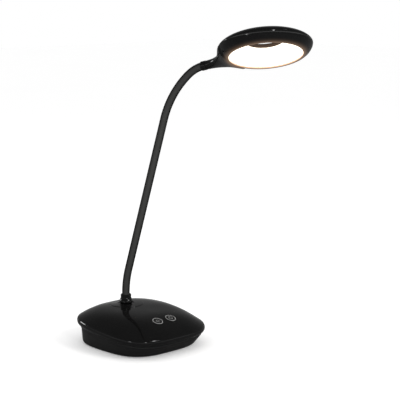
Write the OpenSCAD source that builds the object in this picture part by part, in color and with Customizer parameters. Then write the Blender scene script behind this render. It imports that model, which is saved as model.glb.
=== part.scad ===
// Gooseneck desk lamp: pillow-shaped base, sleeved bendable arm and a ring-shaped lamp head.
// Millimetres. +Z is up, -Y is the side the user sits on, and the origin is the middle of the
// base's rest face on the desk.

/* [Base] */
// Width of the base across its widest line
base_w = 134; // [126:1:150]
// Length of the base from front to back
base_l = 140; // [136:1:160]
// How square the base outline is: 2 is an ellipse, larger is squarer
base_squareness = 3.2; // [2.6:0.1:4]
// Height of the top shell's edge line above the desk, halfway along the base
rim_z = 28.7; // [26:0.1:36]
// Slope of the top shell from the high back down to the front, degrees
wedge_angle = 4.5; // [2:0.1:6]
// Rise of the top shell's crown above its edge line
crown_rise = 16; // [13:0.5:22]
// How far the rounded edge of the top shell stands out past its edge line
edge_bulge = 1; // [0.5:0.1:2]
// Height of the top shell's skirt below its edge line
skirt_h = 8.5; // [6:0.1:11]
// Wall of the two base mouldings
base_wall = 2.2; // [1.6:0.1:3]
// Thickness of the tray's floor
tray_floor = 2.5; // [2:0.1:4]
// How far the tray's side walls draw in from the skirt to the desk
tray_draft = 4; // [2:0.5:7]
// How far the tray's front wall draws in from the skirt to the desk
tray_front_draft = 9; // [4:0.5:13]
// Thickness of the non-slip foot pad
pad_t = 1.2; // [0.8:0.1:2.5]

/* [Base fittings] */
// Thickness of the steel ballast plate
ballast_t = 6; // [3:0.5:8]
// Diameter of the battery cell
cell_d = 18.4; // [14:0.1:18.6]
// Length of the battery cell
cell_l = 65; // [50:1:70]
// Thickness of the circuit boards
board_t = 1.6; // [0.8:0.1:2]
// Distance between the centres of the two touch keys
key_spacing = 21; // [16:0.5:30]
// Distance of the touch keys in front of the middle of the base
key_y = 42.5; // [36:0.5:48]
// Diameter of the shank of the screws
screw_d = 3; // [2.5:0.1:4]

/* [Arm] */
// Distance of the arm's foot behind the middle of the base
arm_y = 28; // [20:0.5:34]
// Direction in which the arm leans, turned from straight ahead toward the right, degrees
arm_yaw = 20; // [0:1:45]
// Diameter of the low raised disc around the arm
disc_d = 44; // [34:1:52]
// Height at which the arm's sleeve leaves the collar, above the base
foot_rise = 11.7; // [10.5:0.1:16]
// Outer diameter of the arm's soft sleeve
sleeve_d = 9.5; // [9.2:0.1:12]
// Bore of the arm's soft sleeve where it grips the two ferrules
sleeve_bore = 6.6; // [6.4:0.1:7]
// Outer diameter of the coiled steel core
coil_d = 5.2; // [4.8:0.1:5.3]
// Bore of the coiled steel core
coil_bore = 3.2; // [3:0.1:3.4]
// Distance from one turn of the core to the next
turn_pitch = 2.4; // [2:0.1:3]
// Bend of the lowest stretch of the arm, degrees
low_bend = 15; // [5:1:25]
// Radius of the lowest bend
low_bend_r = 120; // [90:1:200]
// Length of the straight stretch
straight_l = 196; // [150:1:240]
// Bend of the upper stretch, degrees
mid_bend = 32.5; // [20:0.5:45]
// Radius of the upper bend
mid_bend_r = 115; // [90:1:160]
// Bend just below the head, degrees
top_bend = 28.75; // [15:0.25:40]
// Radius of the bend just below the head
top_bend_r = 46; // [36:1:70]
// Largest turn of each joint between two lengths of the core, degrees
joint_swing = 20; // [5:1:22]

/* [Head] */
// Distance from the end of the arm to the middle of the ring
ring_reach = 80.5; // [76:0.5:100]
// Turn of the head about the end of the arm, degrees
head_turn = 0.75; // [-5:0.25:5]
// Radius of the light opening
opening_r = 42.7; // [40:0.1:44]
// Largest radius of the ring
ring_r = 54.9; // [53:0.1:60]
// Radius of the hole in the middle of the ring
hole_r = 22; // [18:0.5:27]
// Height of the parting line above the light opening
parting_h = 11; // [10.5:0.5:16]
// Height of the crown above the parting line
ring_crown = 11.5; // [8:0.5:14]
// Wall of the two head mouldings
head_wall = 2; // [1.5:0.1:2.5]
// Depth of the light opening's plane below the arm's axis
opening_drop = 5.6; // [3:0.1:6]
// Number of light-emitting diodes
led_count = 24; // [12:1:36]

/* [Hidden] */
$fn = 64;
EPS = 0.01;
CUT = 1;

// Clearances: a slip fit between fixed pieces, and the air between pieces that only pass by.
slip = 0.05;
air = 0.3;

// Base outline and its levels.
outline_steps = 64;
half_w = base_w / 2;
half_l = base_l / 2;
rim_slope = tan(wedge_angle);
crown_power = 3;
skirt_tuck = 3.4;
skirt_wall = 1.4;
upstand_h = 3;
step_h = 2.8;
step_in = 0.7;
tray_inset = skirt_tuck + 0.2;
tray_top = rim_z - skirt_h - air;
floor_top = pad_t + tray_floor;
crown_steps = [0.15, 0.3, 0.45, 0.58, 0.7, 0.8, 0.88, 0.95];

// Screws and their posts.
head_of_screw_d = 2 * screw_d;
head_of_screw_h = 0.8 * screw_d;
post_d = screw_d + 4;
housing_posts = [
    for (share = [-0.515, 0.57], side = [1, -1])
        [side * 0.686 * half_w, share * half_l]
];
post_split_z = floor_top + 9;
screw_sink = 4;
ballast_posts = [[0, -0.4 * half_l], [0, 0.115 * half_l]];
ballast_top = floor_top + ballast_t;
ballast_hw = half_w - 18;
ballast_front = -(half_l - 24);
ballast_back = half_l - 26;

// Touch keys and control board.
key_boss_d = 14;
board_hw = 29;
board_front = -(key_y + 11);
board_back = -(key_y - 26);
board_z = crown_z(0, -key_y - 8) - base_wall - 10;
key_face_z = board_z + board_t + 6;
board_posts = [[22, -key_y + 2], [-22, -key_y + 2]];

// Battery.
battery_x = -0.418 * half_w;
battery_y = 0.3 * half_l;
cradle_wall = 1.6;
cradle_floor = 1.5;
cell_z = ballast_top + cradle_floor + cell_d / 2;
cradle_h = cradle_floor + cell_d * 0.6;

// Charging inlet and its board.
charge_posts = [[8, half_l - 19], [-8, half_l - 19]];
charge_board_z = floor_top + 7.5;
charge_hw = 11.5;
charge_front = half_l - 22.5;
inlet_w = 9;
inlet_h = 3.2;
inlet_depth = 7.4;
inlet_z = charge_board_z + board_t;
inlet_back = wall_y(inlet_z) - 0.5;
charge_back = wall_y(inlet_z) - base_wall - step_in - 2 * air;

// Arm mount: disc, collar, ferrule, washer, nut.
disc_rise = 0.4;
disc_seat_d = 21;
seat_z = crown_z(0, arm_y + disc_seat_d / 2) + 0.1;
disc_under_z = seat_z - 4;
mount_z = crown_z(0, arm_y) + 0.5;
collar_top_z = mount_z + foot_rise - 1;
stub_d = 8;
barrel_d = sleeve_bore - 2 * slip;
shoulder_d = sleeve_d - 0.1;
shoulder_h = 2;
upper_barrel = 2.8;
shoulder_z = seat_z + 6;
washer_t = 1.2;
nut_h = 5;
nut_af = 13;
stub_end_z = disc_under_z - washer_t - nut_h - 0.8;
lead_bore = coil_bore;

// Radius of the shelf that carries the diffuser.
shelf_r = opening_r + 4;

// Arm path: [length, bend in degrees] of each span, starting at the control board.
lead_d = 2.4;
lead_turn_r = 8;
sweep_angle = 6;
lead_turn_z = board_z + board_t + lead_d / 2 + slip;
lead_run = 44;
foot_z = mount_z + foot_rise;
head_run = ring_reach - shelf_r;
function arc_length(r, bend) = r * bend * PI / 180;
PATH = [
    [lead_run, 0],
    [arc_length(lead_turn_r, 90), 90],
    [foot_z - lead_turn_z - lead_turn_r, 0],
    [arc_length(low_bend_r, low_bend), low_bend],
    [straight_l, 0],
    [arc_length(mid_bend_r, mid_bend), mid_bend],
    [arc_length(top_bend_r, top_bend), top_bend],
    [head_run, 0]
];
START_LEAN = -90;
FOOT_SPAN = 3;
HEAD_SPAN = 7;
band_l = 0.4;
band_gap = 0.05;
band_proud = 0.03;
foot_s = span_start(FOOT_SPAN);
straight_s = span_start(FOOT_SPAN + 1);
head_s = span_start(HEAD_SPAN);
head_lean = low_bend + mid_bend + top_bend;

// Core lengths and the joints between them.
core_count = 13;
joint_pitch = (head_s - straight_s) / (core_count - 2);
core_gap = 2 * (coil_d / 2 * sin(joint_swing) + air) / (1 + cos(joint_swing));
core_clear_d = coil_d + 2 * air;
turn_h = turn_pitch * 0.8;
core_web_d = (coil_d + coil_bore) / 2;

// Head.
ring_turn = 96;
lip_flat = 1.1;
shelf_u = 2;
flange_t = 1.2;
diffuser_t = 1.5;
flange_r = shelf_r - air;
hole_wall = 1.8;
diffuser_top = parting_h + ring_crown - 5.2;
heat_ring_r = flange_r;
heat_ring_t = 1;
heat_ring_h = parting_h - shelf_u - flange_t - 0.7;
strip_t = 0.3;
strip_h = heat_ring_h - 0.5;
led_size = [3, 2.4, 0.8];
locating_lip = 1.5;
stem_z = 3;
stem_d = 10.6;
head_collar_d = 11.2;
head_stub_l = 13;
curve_steps = 14;

// ---- Base shape ----

// Height of the sloping plane through the top shell's edge line.
function rim_plane(y) = rim_z + rim_slope * y;

// Distance from the middle of the base as a share of the way to the edge line.
function reach(x, y) =
    pow(pow(abs(x) / (half_w - edge_bulge), base_squareness)
        + pow(abs(y) / (half_l - edge_bulge), base_squareness), 1 / base_squareness);

// Height of the top shell's outer face.
function crown_z(x, y) = rim_plane(y) + crown_rise * (1 - pow(reach(x, y), crown_power));

// One ring of the rounded-square outline, on a plane that slopes from front to back.
function outline(hw, front, back, z, slope) = [
    for (i = [0 : outline_steps - 1])
        let (
            a = 360 * i / outline_steps,
            k = pow(pow(abs(cos(a)), base_squareness) + pow(abs(sin(a)), base_squareness),
                -1 / base_squareness),
            y = (front + back) / 2 + (back - front) / 2 * k * sin(a)
        )
        [hw * k * cos(a), y, z + slope * y]
];

// Ring inset from the widest line of the base, at a height above the edge line.
function rim_ring(inset, dz) = outline(half_w - inset, inset - half_l, half_l - inset, rim_z + dz, rim_slope);

// Rings of a crown, shrunk toward the middle while they rise.
function crown_rings(inset, dz) = [
    for (i = [len(crown_steps) - 1 : -1 : 0])
        let (r = crown_steps[i], rise = crown_rise * (1 - pow(r, crown_power)))
        outline(r * (half_w - inset), r * (inset - half_l), r * (half_l - inset), rim_z + dz + rise, rim_slope)
];

// Ring of the tray's wall at a share of the way from the desk to the skirt.
function tray_ring(share, inset, z) =
    outline(half_w - tray_inset - tray_draft * (1 - share) - inset,
        -(half_l - tray_inset - tray_front_draft * (1 - share) - inset),
        half_l - tray_inset - 0.5 * (1 - share) - inset, z, rim_slope * share);
function wall_y(z) = half_l - tray_inset - 0.5 * (1 - z / tray_top);

// Skin over a stack of rings with the same number of points, closed at both ends.
module loft(rings) {
    n = len(rings[0]);
    m = len(rings);
    polyhedron(
        points = [for (ring = rings) each ring],
        faces = concat(
            [[for (i = [0 : n - 1]) i]],
            [for (k = [0 : m - 2], i = [0 : n - 1]) [k * n + i, (k + 1) * n + i, k * n + (i + 1) % n]],
            [for (k = [0 : m - 2], i = [0 : n - 1])
                [k * n + (i + 1) % n, (k + 1) * n + i, (k + 1) * n + (i + 1) % n]],
            [[for (i = [n - 1 : -1 : 0]) (m - 1) * n + i]]
        )
    );
}

module top_shell_outside() {
    loft(concat(
        [
            rim_ring(skirt_tuck, -skirt_h),
            rim_ring(skirt_tuck * 0.45, -skirt_h * 0.86),
            rim_ring(skirt_tuck * 0.1, -skirt_h * 0.64),
            rim_ring(0, -skirt_h * 0.4),
            rim_ring(edge_bulge * 0.25, -skirt_h * 0.18),
            rim_ring(edge_bulge, 0)
        ],
        crown_rings(edge_bulge, 0)
    ));
}

module top_shell_inside() {
    inset = skirt_tuck + skirt_wall;
    loft(concat(
        [
            rim_ring(inset, -skirt_h - CUT),
            rim_ring(inset, -base_wall)
        ],
        crown_rings(inset, -base_wall)
    ));
}

module crown() {
    loft(concat([rim_ring(edge_bulge, -base_wall), rim_ring(edge_bulge, 0)], crown_rings(edge_bulge, 0)));
}

// Low raised disc that follows the crown, with a flat underside for the nut.
module arm_disc() {
    intersection() {
        translate([0, 0, disc_rise])
            crown();
        translate([0, arm_y, disc_under_z])
            cylinder(d = disc_d, h = crown_rise, $fn = 96);
    }
}

module base_top_shell() {
    color("#1b1b1a")
        difference() {
            union() {
                top_shell_outside();
                arm_disc();
            }
            difference() {
                top_shell_inside();
                translate([0, arm_y, disc_under_z])
                    cylinder(d = disc_d, h = crown_rise);
                for (p = housing_posts)
                    translate([p.x, p.y, post_split_z])
                        cylinder(d = post_d, h = rim_z + crown_rise);
                for (p = board_posts)
                    translate([p.x, p.y, board_z + board_t])
                        cylinder(d = post_d, h = rim_z);
                for (side = [-1, 1])
                    translate([side * key_spacing / 2, -key_y, key_face_z])
                        cylinder(d = key_boss_d, h = rim_z);
            }
            translate([0, arm_y, seat_z])
                cylinder(d = disc_seat_d, h = crown_rise);
            translate([0, arm_y, disc_under_z - CUT])
                cylinder(d = stub_d + 2 * slip, h = crown_rise);
            for (p = housing_posts)
                translate([p.x, p.y, post_split_z - CUT])
                    cylinder(d = screw_d + 2 * slip, h = CUT + screw_sink + 2);
            for (p = board_posts)
                translate([p.x, p.y, board_z])
                    cylinder(d = screw_d + 2 * slip, h = board_t + screw_sink + 0.5);
        }
}

module tray_outside() {
    loft([
        tray_ring(0, 2.6, pad_t),
        tray_ring(0, 0.9, pad_t + 0.7),
        tray_ring(0.12, 0, pad_t + 3),
        outline(half_w - tray_inset - step_in, step_in + tray_inset - half_l, half_l - tray_inset - step_in,
            tray_top - step_h - 0.4, rim_slope),
        rim_ring(tray_inset + step_in + 0.5, -skirt_h - air - step_h),
        rim_ring(tray_inset, -skirt_h - air - step_h + 0.3),
        rim_ring(tray_inset, -skirt_h - air),
        rim_ring(skirt_tuck + skirt_wall + air, -skirt_h - air + EPS),
        rim_ring(skirt_tuck + skirt_wall + air, -skirt_h + upstand_h)
    ]);
}

module tray_inside() {
    loft([
        tray_ring(0, base_wall + 1.6, floor_top),
        tray_ring(0.12, base_wall, floor_top + 2),
        rim_ring(tray_inset + base_wall + step_in, -skirt_h - step_h - 2),
        rim_ring(tray_inset + base_wall + step_in, -skirt_h + upstand_h + CUT)
    ]);
}

module base_tray() {
    color("#242423")
        difference() {
            tray_outside();
            difference() {
                tray_inside();
                for (p = housing_posts)
                    translate([p.x, p.y, 0])
                        cylinder(d = post_d + 1.5, h = post_split_z - slip);
                for (p = ballast_posts)
                    translate([p.x, p.y, 0])
                        cylinder(d = post_d, h = ballast_top - slip);
                for (p = charge_posts)
                    translate([p.x, p.y, 0])
                        cylinder(d = post_d, h = charge_board_z);
            }
            for (p = housing_posts)
                translate([p.x, p.y, 0]) {
                    cylinder(d = screw_d + 2 * slip, h = post_split_z + CUT);
                    cylinder(d = head_of_screw_d + 2 * slip, h = floor_top + 1.5);
                }
            for (p = ballast_posts)
                translate([p.x, p.y, floor_top])
                    cylinder(d = screw_d + 2 * slip, h = ballast_t + CUT);
            for (p = charge_posts)
                translate([p.x, p.y, floor_top])
                    cylinder(d = screw_d + 2 * slip, h = charge_board_z);
            translate([-inlet_w / 2 - air, inlet_back - inlet_depth, inlet_z - air])
                cube([inlet_w + 2 * air, inlet_depth + skirt_tuck + base_wall + CUT, inlet_h + 2 * air]);
        }
}

module foot_pad() {
    inset = tray_inset + tray_draft + 3.4;
    front = half_l - tray_inset - tray_front_draft - 3.4;
    back = half_l - tray_inset - 4;
    color("#1d1d1e")
        linear_extrude(height = pad_t)
            polygon([for (p = outline(half_w - inset, -front, back, 0, 0)) [p.x, p.y]]);
}

module ballast_plate() {
    color("#8d9092")
        difference() {
            translate([0, 0, floor_top])
                linear_extrude(height = ballast_t)
                    polygon([for (p = outline(ballast_hw, ballast_front, ballast_back, 0, 0)) [p.x, p.y]]);
            for (p = ballast_posts)
                translate([p.x, p.y, 0])
                    cylinder(d = post_d + 2 * air, h = ballast_top + CUT);
            for (p = housing_posts)
                translate([p.x, p.y, 0])
                    cylinder(d = post_d + 1.5 + 2 * air, h = ballast_top + CUT);
        }
}

// Pan-head screw standing on its tip, head up.
module screw(shank_l, head_d = head_of_screw_d) {
    cylinder(d = screw_d, h = shank_l);
    translate([0, 0, shank_l])
        difference() {
            cylinder(d = head_d, h = head_of_screw_h);
            for (turn = [0, 90])
                rotate([0, 0, turn])
                    translate([-screw_d / 2, -0.35, head_of_screw_h * 0.5])
                        cube([screw_d, 0.7, head_of_screw_h]);
        }
}

module ballast_screws() {
    color("#b9bbbd")
        for (p = ballast_posts)
            translate([p.x, p.y, ballast_top - ballast_t + 1])
                screw(ballast_t - 1, post_d + 3);
}

module housing_screws() {
    tip_z = post_split_z + screw_sink;
    color("#b9bbbd")
        for (p = housing_posts)
            translate([p.x, p.y, tip_z])
                mirror([0, 0, 1])
                    screw(tip_z - floor_top - 1.5);
}

module control_board() {
    color("#1f5a3a")
        difference() {
            translate([-board_hw, board_front, board_z])
                cube([2 * board_hw, board_back - board_front, board_t]);
            for (p = board_posts)
                translate([p.x, p.y, board_z - CUT])
                    cylinder(d = screw_d + 2 * air, h = board_t + 2 * CUT);
        }
    color("#202022")
        translate([-6, board_back - 14, board_z + board_t])
            cube([12, 9, 1.6]);
}

module control_board_screws() {
    tip_z = board_z + board_t + screw_sink;
    color("#b9bbbd")
        for (p = board_posts)
            translate([p.x, p.y, tip_z])
                mirror([0, 0, 1])
                    screw(tip_z - board_z);
}

// Conical spring of round wire: a tube swept along a helix.
module cone_spring(r_low, r_high, h, turns, wire_d) {
    steps = 12 * turns;
    sides = 6;
    rings = [
        for (i = [0 : steps])
            let (
                t = i / steps,
                a = 360 * turns * t,
                r = r_low + (r_high - r_low) * t,
                lift = wire_d / 2 + (h - wire_d) * t
            )
            [for (j = [0 : sides - 1])
                let (b = 360 * j / sides, out = r + wire_d / 2 * cos(b))
                [out * cos(a), out * sin(a), lift + wire_d / 2 * sin(b)]]
    ];
    loft(rings);
}

module touch_springs() {
    color("#c9a648")
        for (side = [-1, 1])
            translate([side * key_spacing / 2, -key_y, board_z + board_t]) {
                cone_spring(2.4, 4.6, key_face_z - board_z - board_t, 4, 0.7);
            }
}

module battery_cell() {
    color("#2d6fa8")
        translate([battery_x, battery_y - cell_l / 2, cell_z])
            rotate([-90, 0, 0])
                union() {
                    cylinder(d = cell_d, h = cell_l);
                    translate([0, 0, cell_l])
                        cylinder(d = 6, h = 1.2);
                }
}

module battery_cradle() {
    w = cell_d + 2 * cradle_wall;
    d = cell_l + 2 * (cradle_wall + 1.6);
    color("#2a2a2c")
        difference() {
            translate([battery_x - w / 2, battery_y - d / 2, ballast_top])
                cube([w, d, cradle_h]);
            translate([battery_x, battery_y - d / 2 + cradle_wall, cell_z])
                rotate([-90, 0, 0])
                    cylinder(d = cell_d + 2 * slip, h = d - 2 * cradle_wall);
            translate([battery_x - cell_d / 2 - slip, battery_y - d / 2 + cradle_wall, cell_z])
                cube([cell_d + 2 * slip, d - 2 * cradle_wall, cell_d]);
        }
}

module charge_board() {
    color("#1f5a3a")
        difference() {
            translate([-charge_hw, charge_front, charge_board_z])
                cube([2 * charge_hw, charge_back - charge_front, board_t]);
            for (p = charge_posts)
                translate([p.x, p.y, charge_board_z - CUT])
                    cylinder(d = screw_d + 2 * air, h = board_t + 2 * CUT);
        }
}

module charge_board_screws() {
    color("#b9bbbd")
        for (p = charge_posts)
            translate([p.x, p.y, floor_top + 1])
                screw(charge_board_z + board_t - floor_top - 1);
}

module charging_inlet() {
    wall = 0.4;
    color("#c3c6c8")
        translate([0, inlet_back - inlet_depth, inlet_z])
            difference() {
                translate([-inlet_w / 2, 0, 0])
                    cube([inlet_w, inlet_depth, inlet_h]);
                difference() {
                    translate([-inlet_w / 2 + wall, 1, wall])
                        cube([inlet_w - 2 * wall, inlet_depth, inlet_h - 2 * wall]);
                    translate([-inlet_w / 2 + 1.2, 0, inlet_h / 2 - 0.35])
                        cube([inlet_w - 2.4, inlet_depth - 1, 0.7]);
                }
            }
}

// ---- Arm ----

function span_start(i) = i == 0 ? 0 : span_start(i - 1) + PATH[i - 1][0];
function lean_at_start(i) = i == 0 ? START_LEAN : lean_at_start(i - 1) + PATH[i - 1][1];

// Forward and upward travel over a length of one span that starts at a given lean.
function travel(length, bend, lean) =
    bend == 0
        ? [length * sin(lean), length * cos(lean)]
        : let (r = length / (bend * PI / 180))
            [r * (cos(lean) - cos(lean + bend)), r * (sin(lean + bend) - sin(lean))];

function span_at(s, i = 0) =
    i == len(PATH) - 1 || s < span_start(i + 1) - EPS ? i : span_at(s, i + 1);
function to_span(i) =
    i == 0 ? [0, 0] : to_span(i - 1) + travel(PATH[i - 1][0], PATH[i - 1][1], lean_at_start(i - 1));
function bend_within(s, i) = PATH[i][1] * (s - span_start(i)) / PATH[i][0];
function lean_at(s) = let (i = span_at(s)) lean_at_start(i) + bend_within(s, i);
function raw_place(s) =
    let (i = span_at(s)) to_span(i) + travel(s - span_start(i), bend_within(s, i), lean_at_start(i));

// Point on the arm's axis at a distance s along the path.
function place_at(s) =
    let (p = raw_place(s) - to_span(FOOT_SPAN))
    [p[0] * sin(arm_yaw), arm_y - p[0] * cos(arm_yaw), foot_z + p[1]];

// Frame on the path: +Z along the arm, +X toward the side it bends to.
module on_path(s) {
    translate(place_at(s))
        rotate([0, lean_at(s), arm_yaw - 90])
            children();
}

// Round bar along the path from s0 to s1, with true cylinders and torus pieces. A hair-thin band
// bridges each change of span, so that the pieces join as one solid.
module bar_along(s0, s1, d) {
    for (i = [0 : len(PATH) - 1]) {
        start = span_start(i);
        a = s0 > start ? s0 : start + band_gap;
        b = s1 < start + PATH[i][0] ? s1 : start + PATH[i][0] - band_gap;
        bend = PATH[i][1] * (b - a) / PATH[i][0];
        if (b - a > EPS)
            on_path(a)
                if (bend == 0)
                    cylinder(d = d, h = b - a);
                else
                    bent_bar((b - a) / (bend * PI / 180), bend, d);
        if (i > 0 && s0 < start - band_l && s1 > start + band_l)
            on_path(start - band_l)
                cylinder(d = d + 2 * band_proud, h = 2 * band_l);
    }
}

module bent_bar(r, bend, d) {
    translate([r, 0, 0])
        rotate([90, 0, 0])
            rotate([0, 0, 180 - bend])
                rotate_extrude(angle = bend)
                    translate([r, 0])
                        circle(d = d);
}

// Ends of the sleeve, on the shoulders of the two ferrules.
sleeve_s0 = foot_s - (foot_z - shoulder_z - shoulder_h) + slip;
sleeve_s1 = head_s + stem_z - shoulder_h - slip;

module arm_sleeve() {
    color("#2b2b2a")
        difference() {
            swept_bar(sleeve_s0, sleeve_s1, sleeve_d, 24);
            swept_bar(sleeve_s0 - CUT, sleeve_s1 + CUT, core_clear_d, 24);
            on_path(sleeve_s0 - CUT)
                cylinder(d = sleeve_bore, h = CUT + foot_s - sleeve_s0 + slip);
            on_head()
                translate([0, 0, stem_z - shoulder_h - upper_barrel - slip])
                    cylinder(d = sleeve_bore, h = upper_barrel + CUT);
        }
}

// Ring of points around the path, square to it.
function ring_at(s, d, sides) =
    let (lean = lean_at(s), p = place_at(s))
    [for (i = [0 : sides - 1])
        let (a = 360 * i / sides, side = d / 2 * cos(a), out = d / 2 * sin(a))
        p + [
            side * cos(arm_yaw) - out * cos(lean) * sin(arm_yaw),
            side * sin(arm_yaw) + out * cos(lean) * cos(arm_yaw),
            out * sin(lean)
        ]];

// Distances between s0 and s1 at which a swept bar gets a ring: close together only in the bends.
function sweep_steps(s0, s1) = concat([s0], [
    for (i = [0 : len(PATH) - 1])
        let (n = max(1, ceil(PATH[i][1] / sweep_angle)))
        for (j = [0 : n - 1])
            let (s = span_start(i) + PATH[i][0] * j / n)
            if (s > s0 + EPS && s < s1 - EPS) s
], [s1]);

// Bendable bar along the path, with its own number of sides.
module swept_bar(s0, s1, d, sides) {
    loft([for (s = sweep_steps(s0, s1)) ring_at(s, d, sides)]);
}

module lamp_lead() {
    color("#d9d9d4")
        swept_bar(0, head_s + head_run, lead_d, 12);
}

// Ends of one length of the core; the first and last stand in the ferrules.
function joint_s(k) = straight_s + joint_pitch * (k - 2);
function core_start(k) = k == 1 ? sleeve_s0 + 0.2 : joint_s(k - 1) + core_gap / 2;
function core_end(k) = k == core_count ? head_s - 2 * air : joint_s(k) - core_gap / 2;

module core(k) {
    s0 = core_start(k);
    s1 = core_end(k);
    turns = floor((s1 - s0) / turn_pitch);
    pitch = (s1 - s0 - turn_h) / (turns - 1);
    color("#9a9c9e")
        difference() {
            union() {
                bar_along(s0, s1, core_web_d);
                for (i = [0 : turns - 1])
                    on_path(s0 + i * pitch)
                        cylinder(d = coil_d, h = turn_h);
            }
            bar_along(s0 - air, s1 + air, coil_bore);
        }
}

module tube(d, bore, h) {
    difference() {
        cylinder(d = d, h = h);
        translate([0, 0, -CUT])
            cylinder(d = bore, h = h + 2 * CUT);
    }
}

// Ferrule standing with its shoulder's lower face at the origin: threaded stub below, barrel above.
module ferrule(stub_l, barrel) {
    difference() {
        union() {
            translate([0, 0, -stub_l])
                cylinder(d = stub_d, h = stub_l);
            cylinder(d = shoulder_d, h = shoulder_h);
            cylinder(d = barrel_d, h = shoulder_h + barrel);
        }
        translate([0, 0, -stub_l - CUT])
            cylinder(d = lead_bore, h = stub_l + barrel + shoulder_h + 2 * CUT);
        translate([0, 0, shoulder_h])
            cylinder(d = coil_d + 4 * slip, h = barrel + CUT);
    }
}

module lower_ferrule() {
    color("#a8a9ab")
        translate([0, arm_y, shoulder_z])
            ferrule(shoulder_z - stub_end_z, foot_z - shoulder_z - shoulder_h);
}

module arm_collar() {
    color("#171717")
        translate([0, arm_y, seat_z])
            rotate_extrude($fn = 96)
                polygon([
                    [stub_d / 2 + slip, 0], [6.6, 0], [7.6, 0.9], [8.2, 2.2], [8.3, 3.4], [8, 4.6],
                    [7.2, 6.2], [6.8, 7.2], [6.8, 7.6], [6.6, 7.8], [6.6, collar_top_z - seat_z - 0.5],
                    [6.1, collar_top_z - seat_z], [sleeve_d / 2 + slip, collar_top_z - seat_z],
                    [sleeve_d / 2 + slip, shoulder_z - seat_z], [stub_d / 2 + slip, shoulder_z - seat_z]
                ]);
}

module lock_washer() {
    color("#b4b6b8")
        translate([0, arm_y, disc_under_z - washer_t])
            tube(stub_d + 8, stub_d + 2 * slip, washer_t);
}

module arm_nut() {
    color("#b4b6b8")
        translate([0, arm_y, disc_under_z - washer_t - nut_h])
            difference() {
                cylinder(d = nut_af / cos(30), h = nut_h, $fn = 6);
                translate([0, 0, -CUT])
                    cylinder(d = stub_d + 2 * slip, h = nut_h + 2 * CUT);
            }
}

// ---- Head ----
// Head frame: +Z along the stem from the end of the arm, light shining toward -Y.

module on_head() {
    translate(place_at(head_s))
        rotate(a = head_lean, v = [cos(arm_yaw), sin(arm_yaw), 0])
            rotate([0, 0, head_turn])
                children();
}

// Ring frame: origin in the middle of the light opening, +Z toward the crown.
module on_ring() {
    on_head()
        translate([0, -opening_drop, ring_reach])
            rotate([-90, 0, 0])
                children();
}

// Quarter of a superellipse from [r1, u0] to [r0, u1], as points.
function quarter(r0, r1, u0, u1, power) = [
    for (i = [0 : curve_steps])
        let (
            a = 90 * i / curve_steps,
            c = pow(cos(a), 2 / power),
            s = pow(sin(a), 2 / power)
        )
        [r0 + (r1 - r0) * c, u0 + (u1 - u0) * s]
];
function backward(list) = [for (i = [len(list) - 1 : -1 : 0]) list[i]];

crown_curve = 1.7;
belly_curve = 1.6;
cavity_curve = 1.25;
bowl_curve = 2.2;
crown_top = parting_h + ring_crown;

module head_cover() {
    inner_top = crown_top - head_wall;
    color("#1b1b1a")
        on_ring()
            rotate_extrude($fn = ring_turn)
                polygon(concat(
                    [[ring_r - head_wall, parting_h], [ring_r, parting_h]],
                    quarter(hole_r + 0.5, ring_r, parting_h + EPS, crown_top, crown_curve),
                    [[hole_r, crown_top - 0.5], [hole_r, diffuser_top]],
                    [[hole_r + hole_wall, diffuser_top]],
                    backward(quarter(hole_r + hole_wall, ring_r - head_wall - 0.7, parting_h + EPS, inner_top,
                        crown_curve)),
                    [[ring_r - head_wall - 0.7, parting_h - locating_lip],
                        [ring_r - head_wall - slip, parting_h - locating_lip]]
                ));
}

// Cross-section of the stem at a height above the arm's end.
stem_end = ring_reach - opening_r - lip_flat / 2;
function smooth(t) = let (k = max(0, min(1, t))) k * k * (3 - 2 * k);
function stem_section(z) =
    let (
        t = (z - stem_z) / (stem_end - stem_z),
        hw = stem_d / 2 + 25 * pow(t, 1.9),
        low = stem_d / 2 - (stem_d / 2 - opening_drop) * smooth(t),
        high = stem_d / 2 + (parting_h - opening_drop - 0.1 - stem_d / 2) * smooth(2 * t),
        power = 2 + 0.6 * t
    )
    [for (i = [0 : 31])
        let (
            a = 360 * i / 32,
            k = pow(pow(abs(cos(a)), power) + pow(abs(sin(a)), power), -1 / power)
        )
        [hw * k * cos(a), (high - low) / 2 + (high + low) / 2 * k * sin(a), z]];

module stem_outside() {
    loft([for (i = [0 : 12]) stem_section(stem_z + (stem_end - stem_z) * i / 12)]);
}

// Space inside the ring: the light opening, the shelf and the cavity above it, which ends in a
// straight wall for the cover's locating lip.
module ring_inside() {
    wall_r = ring_r - head_wall;
    lip_u = parting_h - locating_lip - air;
    rotate_extrude($fn = ring_turn)
        polygon(concat(
            [[0, -10], [opening_r, -10], [opening_r, shelf_u], [shelf_r, shelf_u]],
            backward(quarter(shelf_r, wall_r, lip_u, shelf_u + EPS, cavity_curve)),
            [[wall_r, crown_top + CUT], [0, crown_top + CUT]]
        ));
}

module head_housing() {
    color("#1b1b1a")
        difference() {
            union() {
                on_ring()
                    rotate_extrude($fn = ring_turn)
                        polygon(concat(
                            [[opening_r - 2, 0], [opening_r + lip_flat, 0]],
                            backward(quarter(opening_r + lip_flat, ring_r, parting_h, EPS, belly_curve)),
                            [[opening_r - 2, parting_h]]
                        ));
                on_head()
                    stem_outside();
            }
            on_ring()
                ring_inside();
            on_head() {
                translate([0, 0, stem_z - CUT])
                    cylinder(d = stub_d + 2 * slip, h = CUT + head_stub_l - stem_z + air);
                cylinder(d = lead_d + 4 * air, h = head_run);
                translate([0, 0, 9])
                    rotate([90, 0, 0])
                        cylinder(d = screw_d + 2 * slip, h = stem_d);
            }
        }
}

module ferrule_grub_screw() {
    color("#3c3d3f")
        on_head()
            translate([0, -stub_d / 2, 9])
                rotate([90, 0, 0])
                    difference() {
                        cylinder(d = screw_d, h = 1);
                        translate([0, 0, 0.4])
                            cylinder(d = 1.5, h = 1, $fn = 6);
                    }
}

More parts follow.
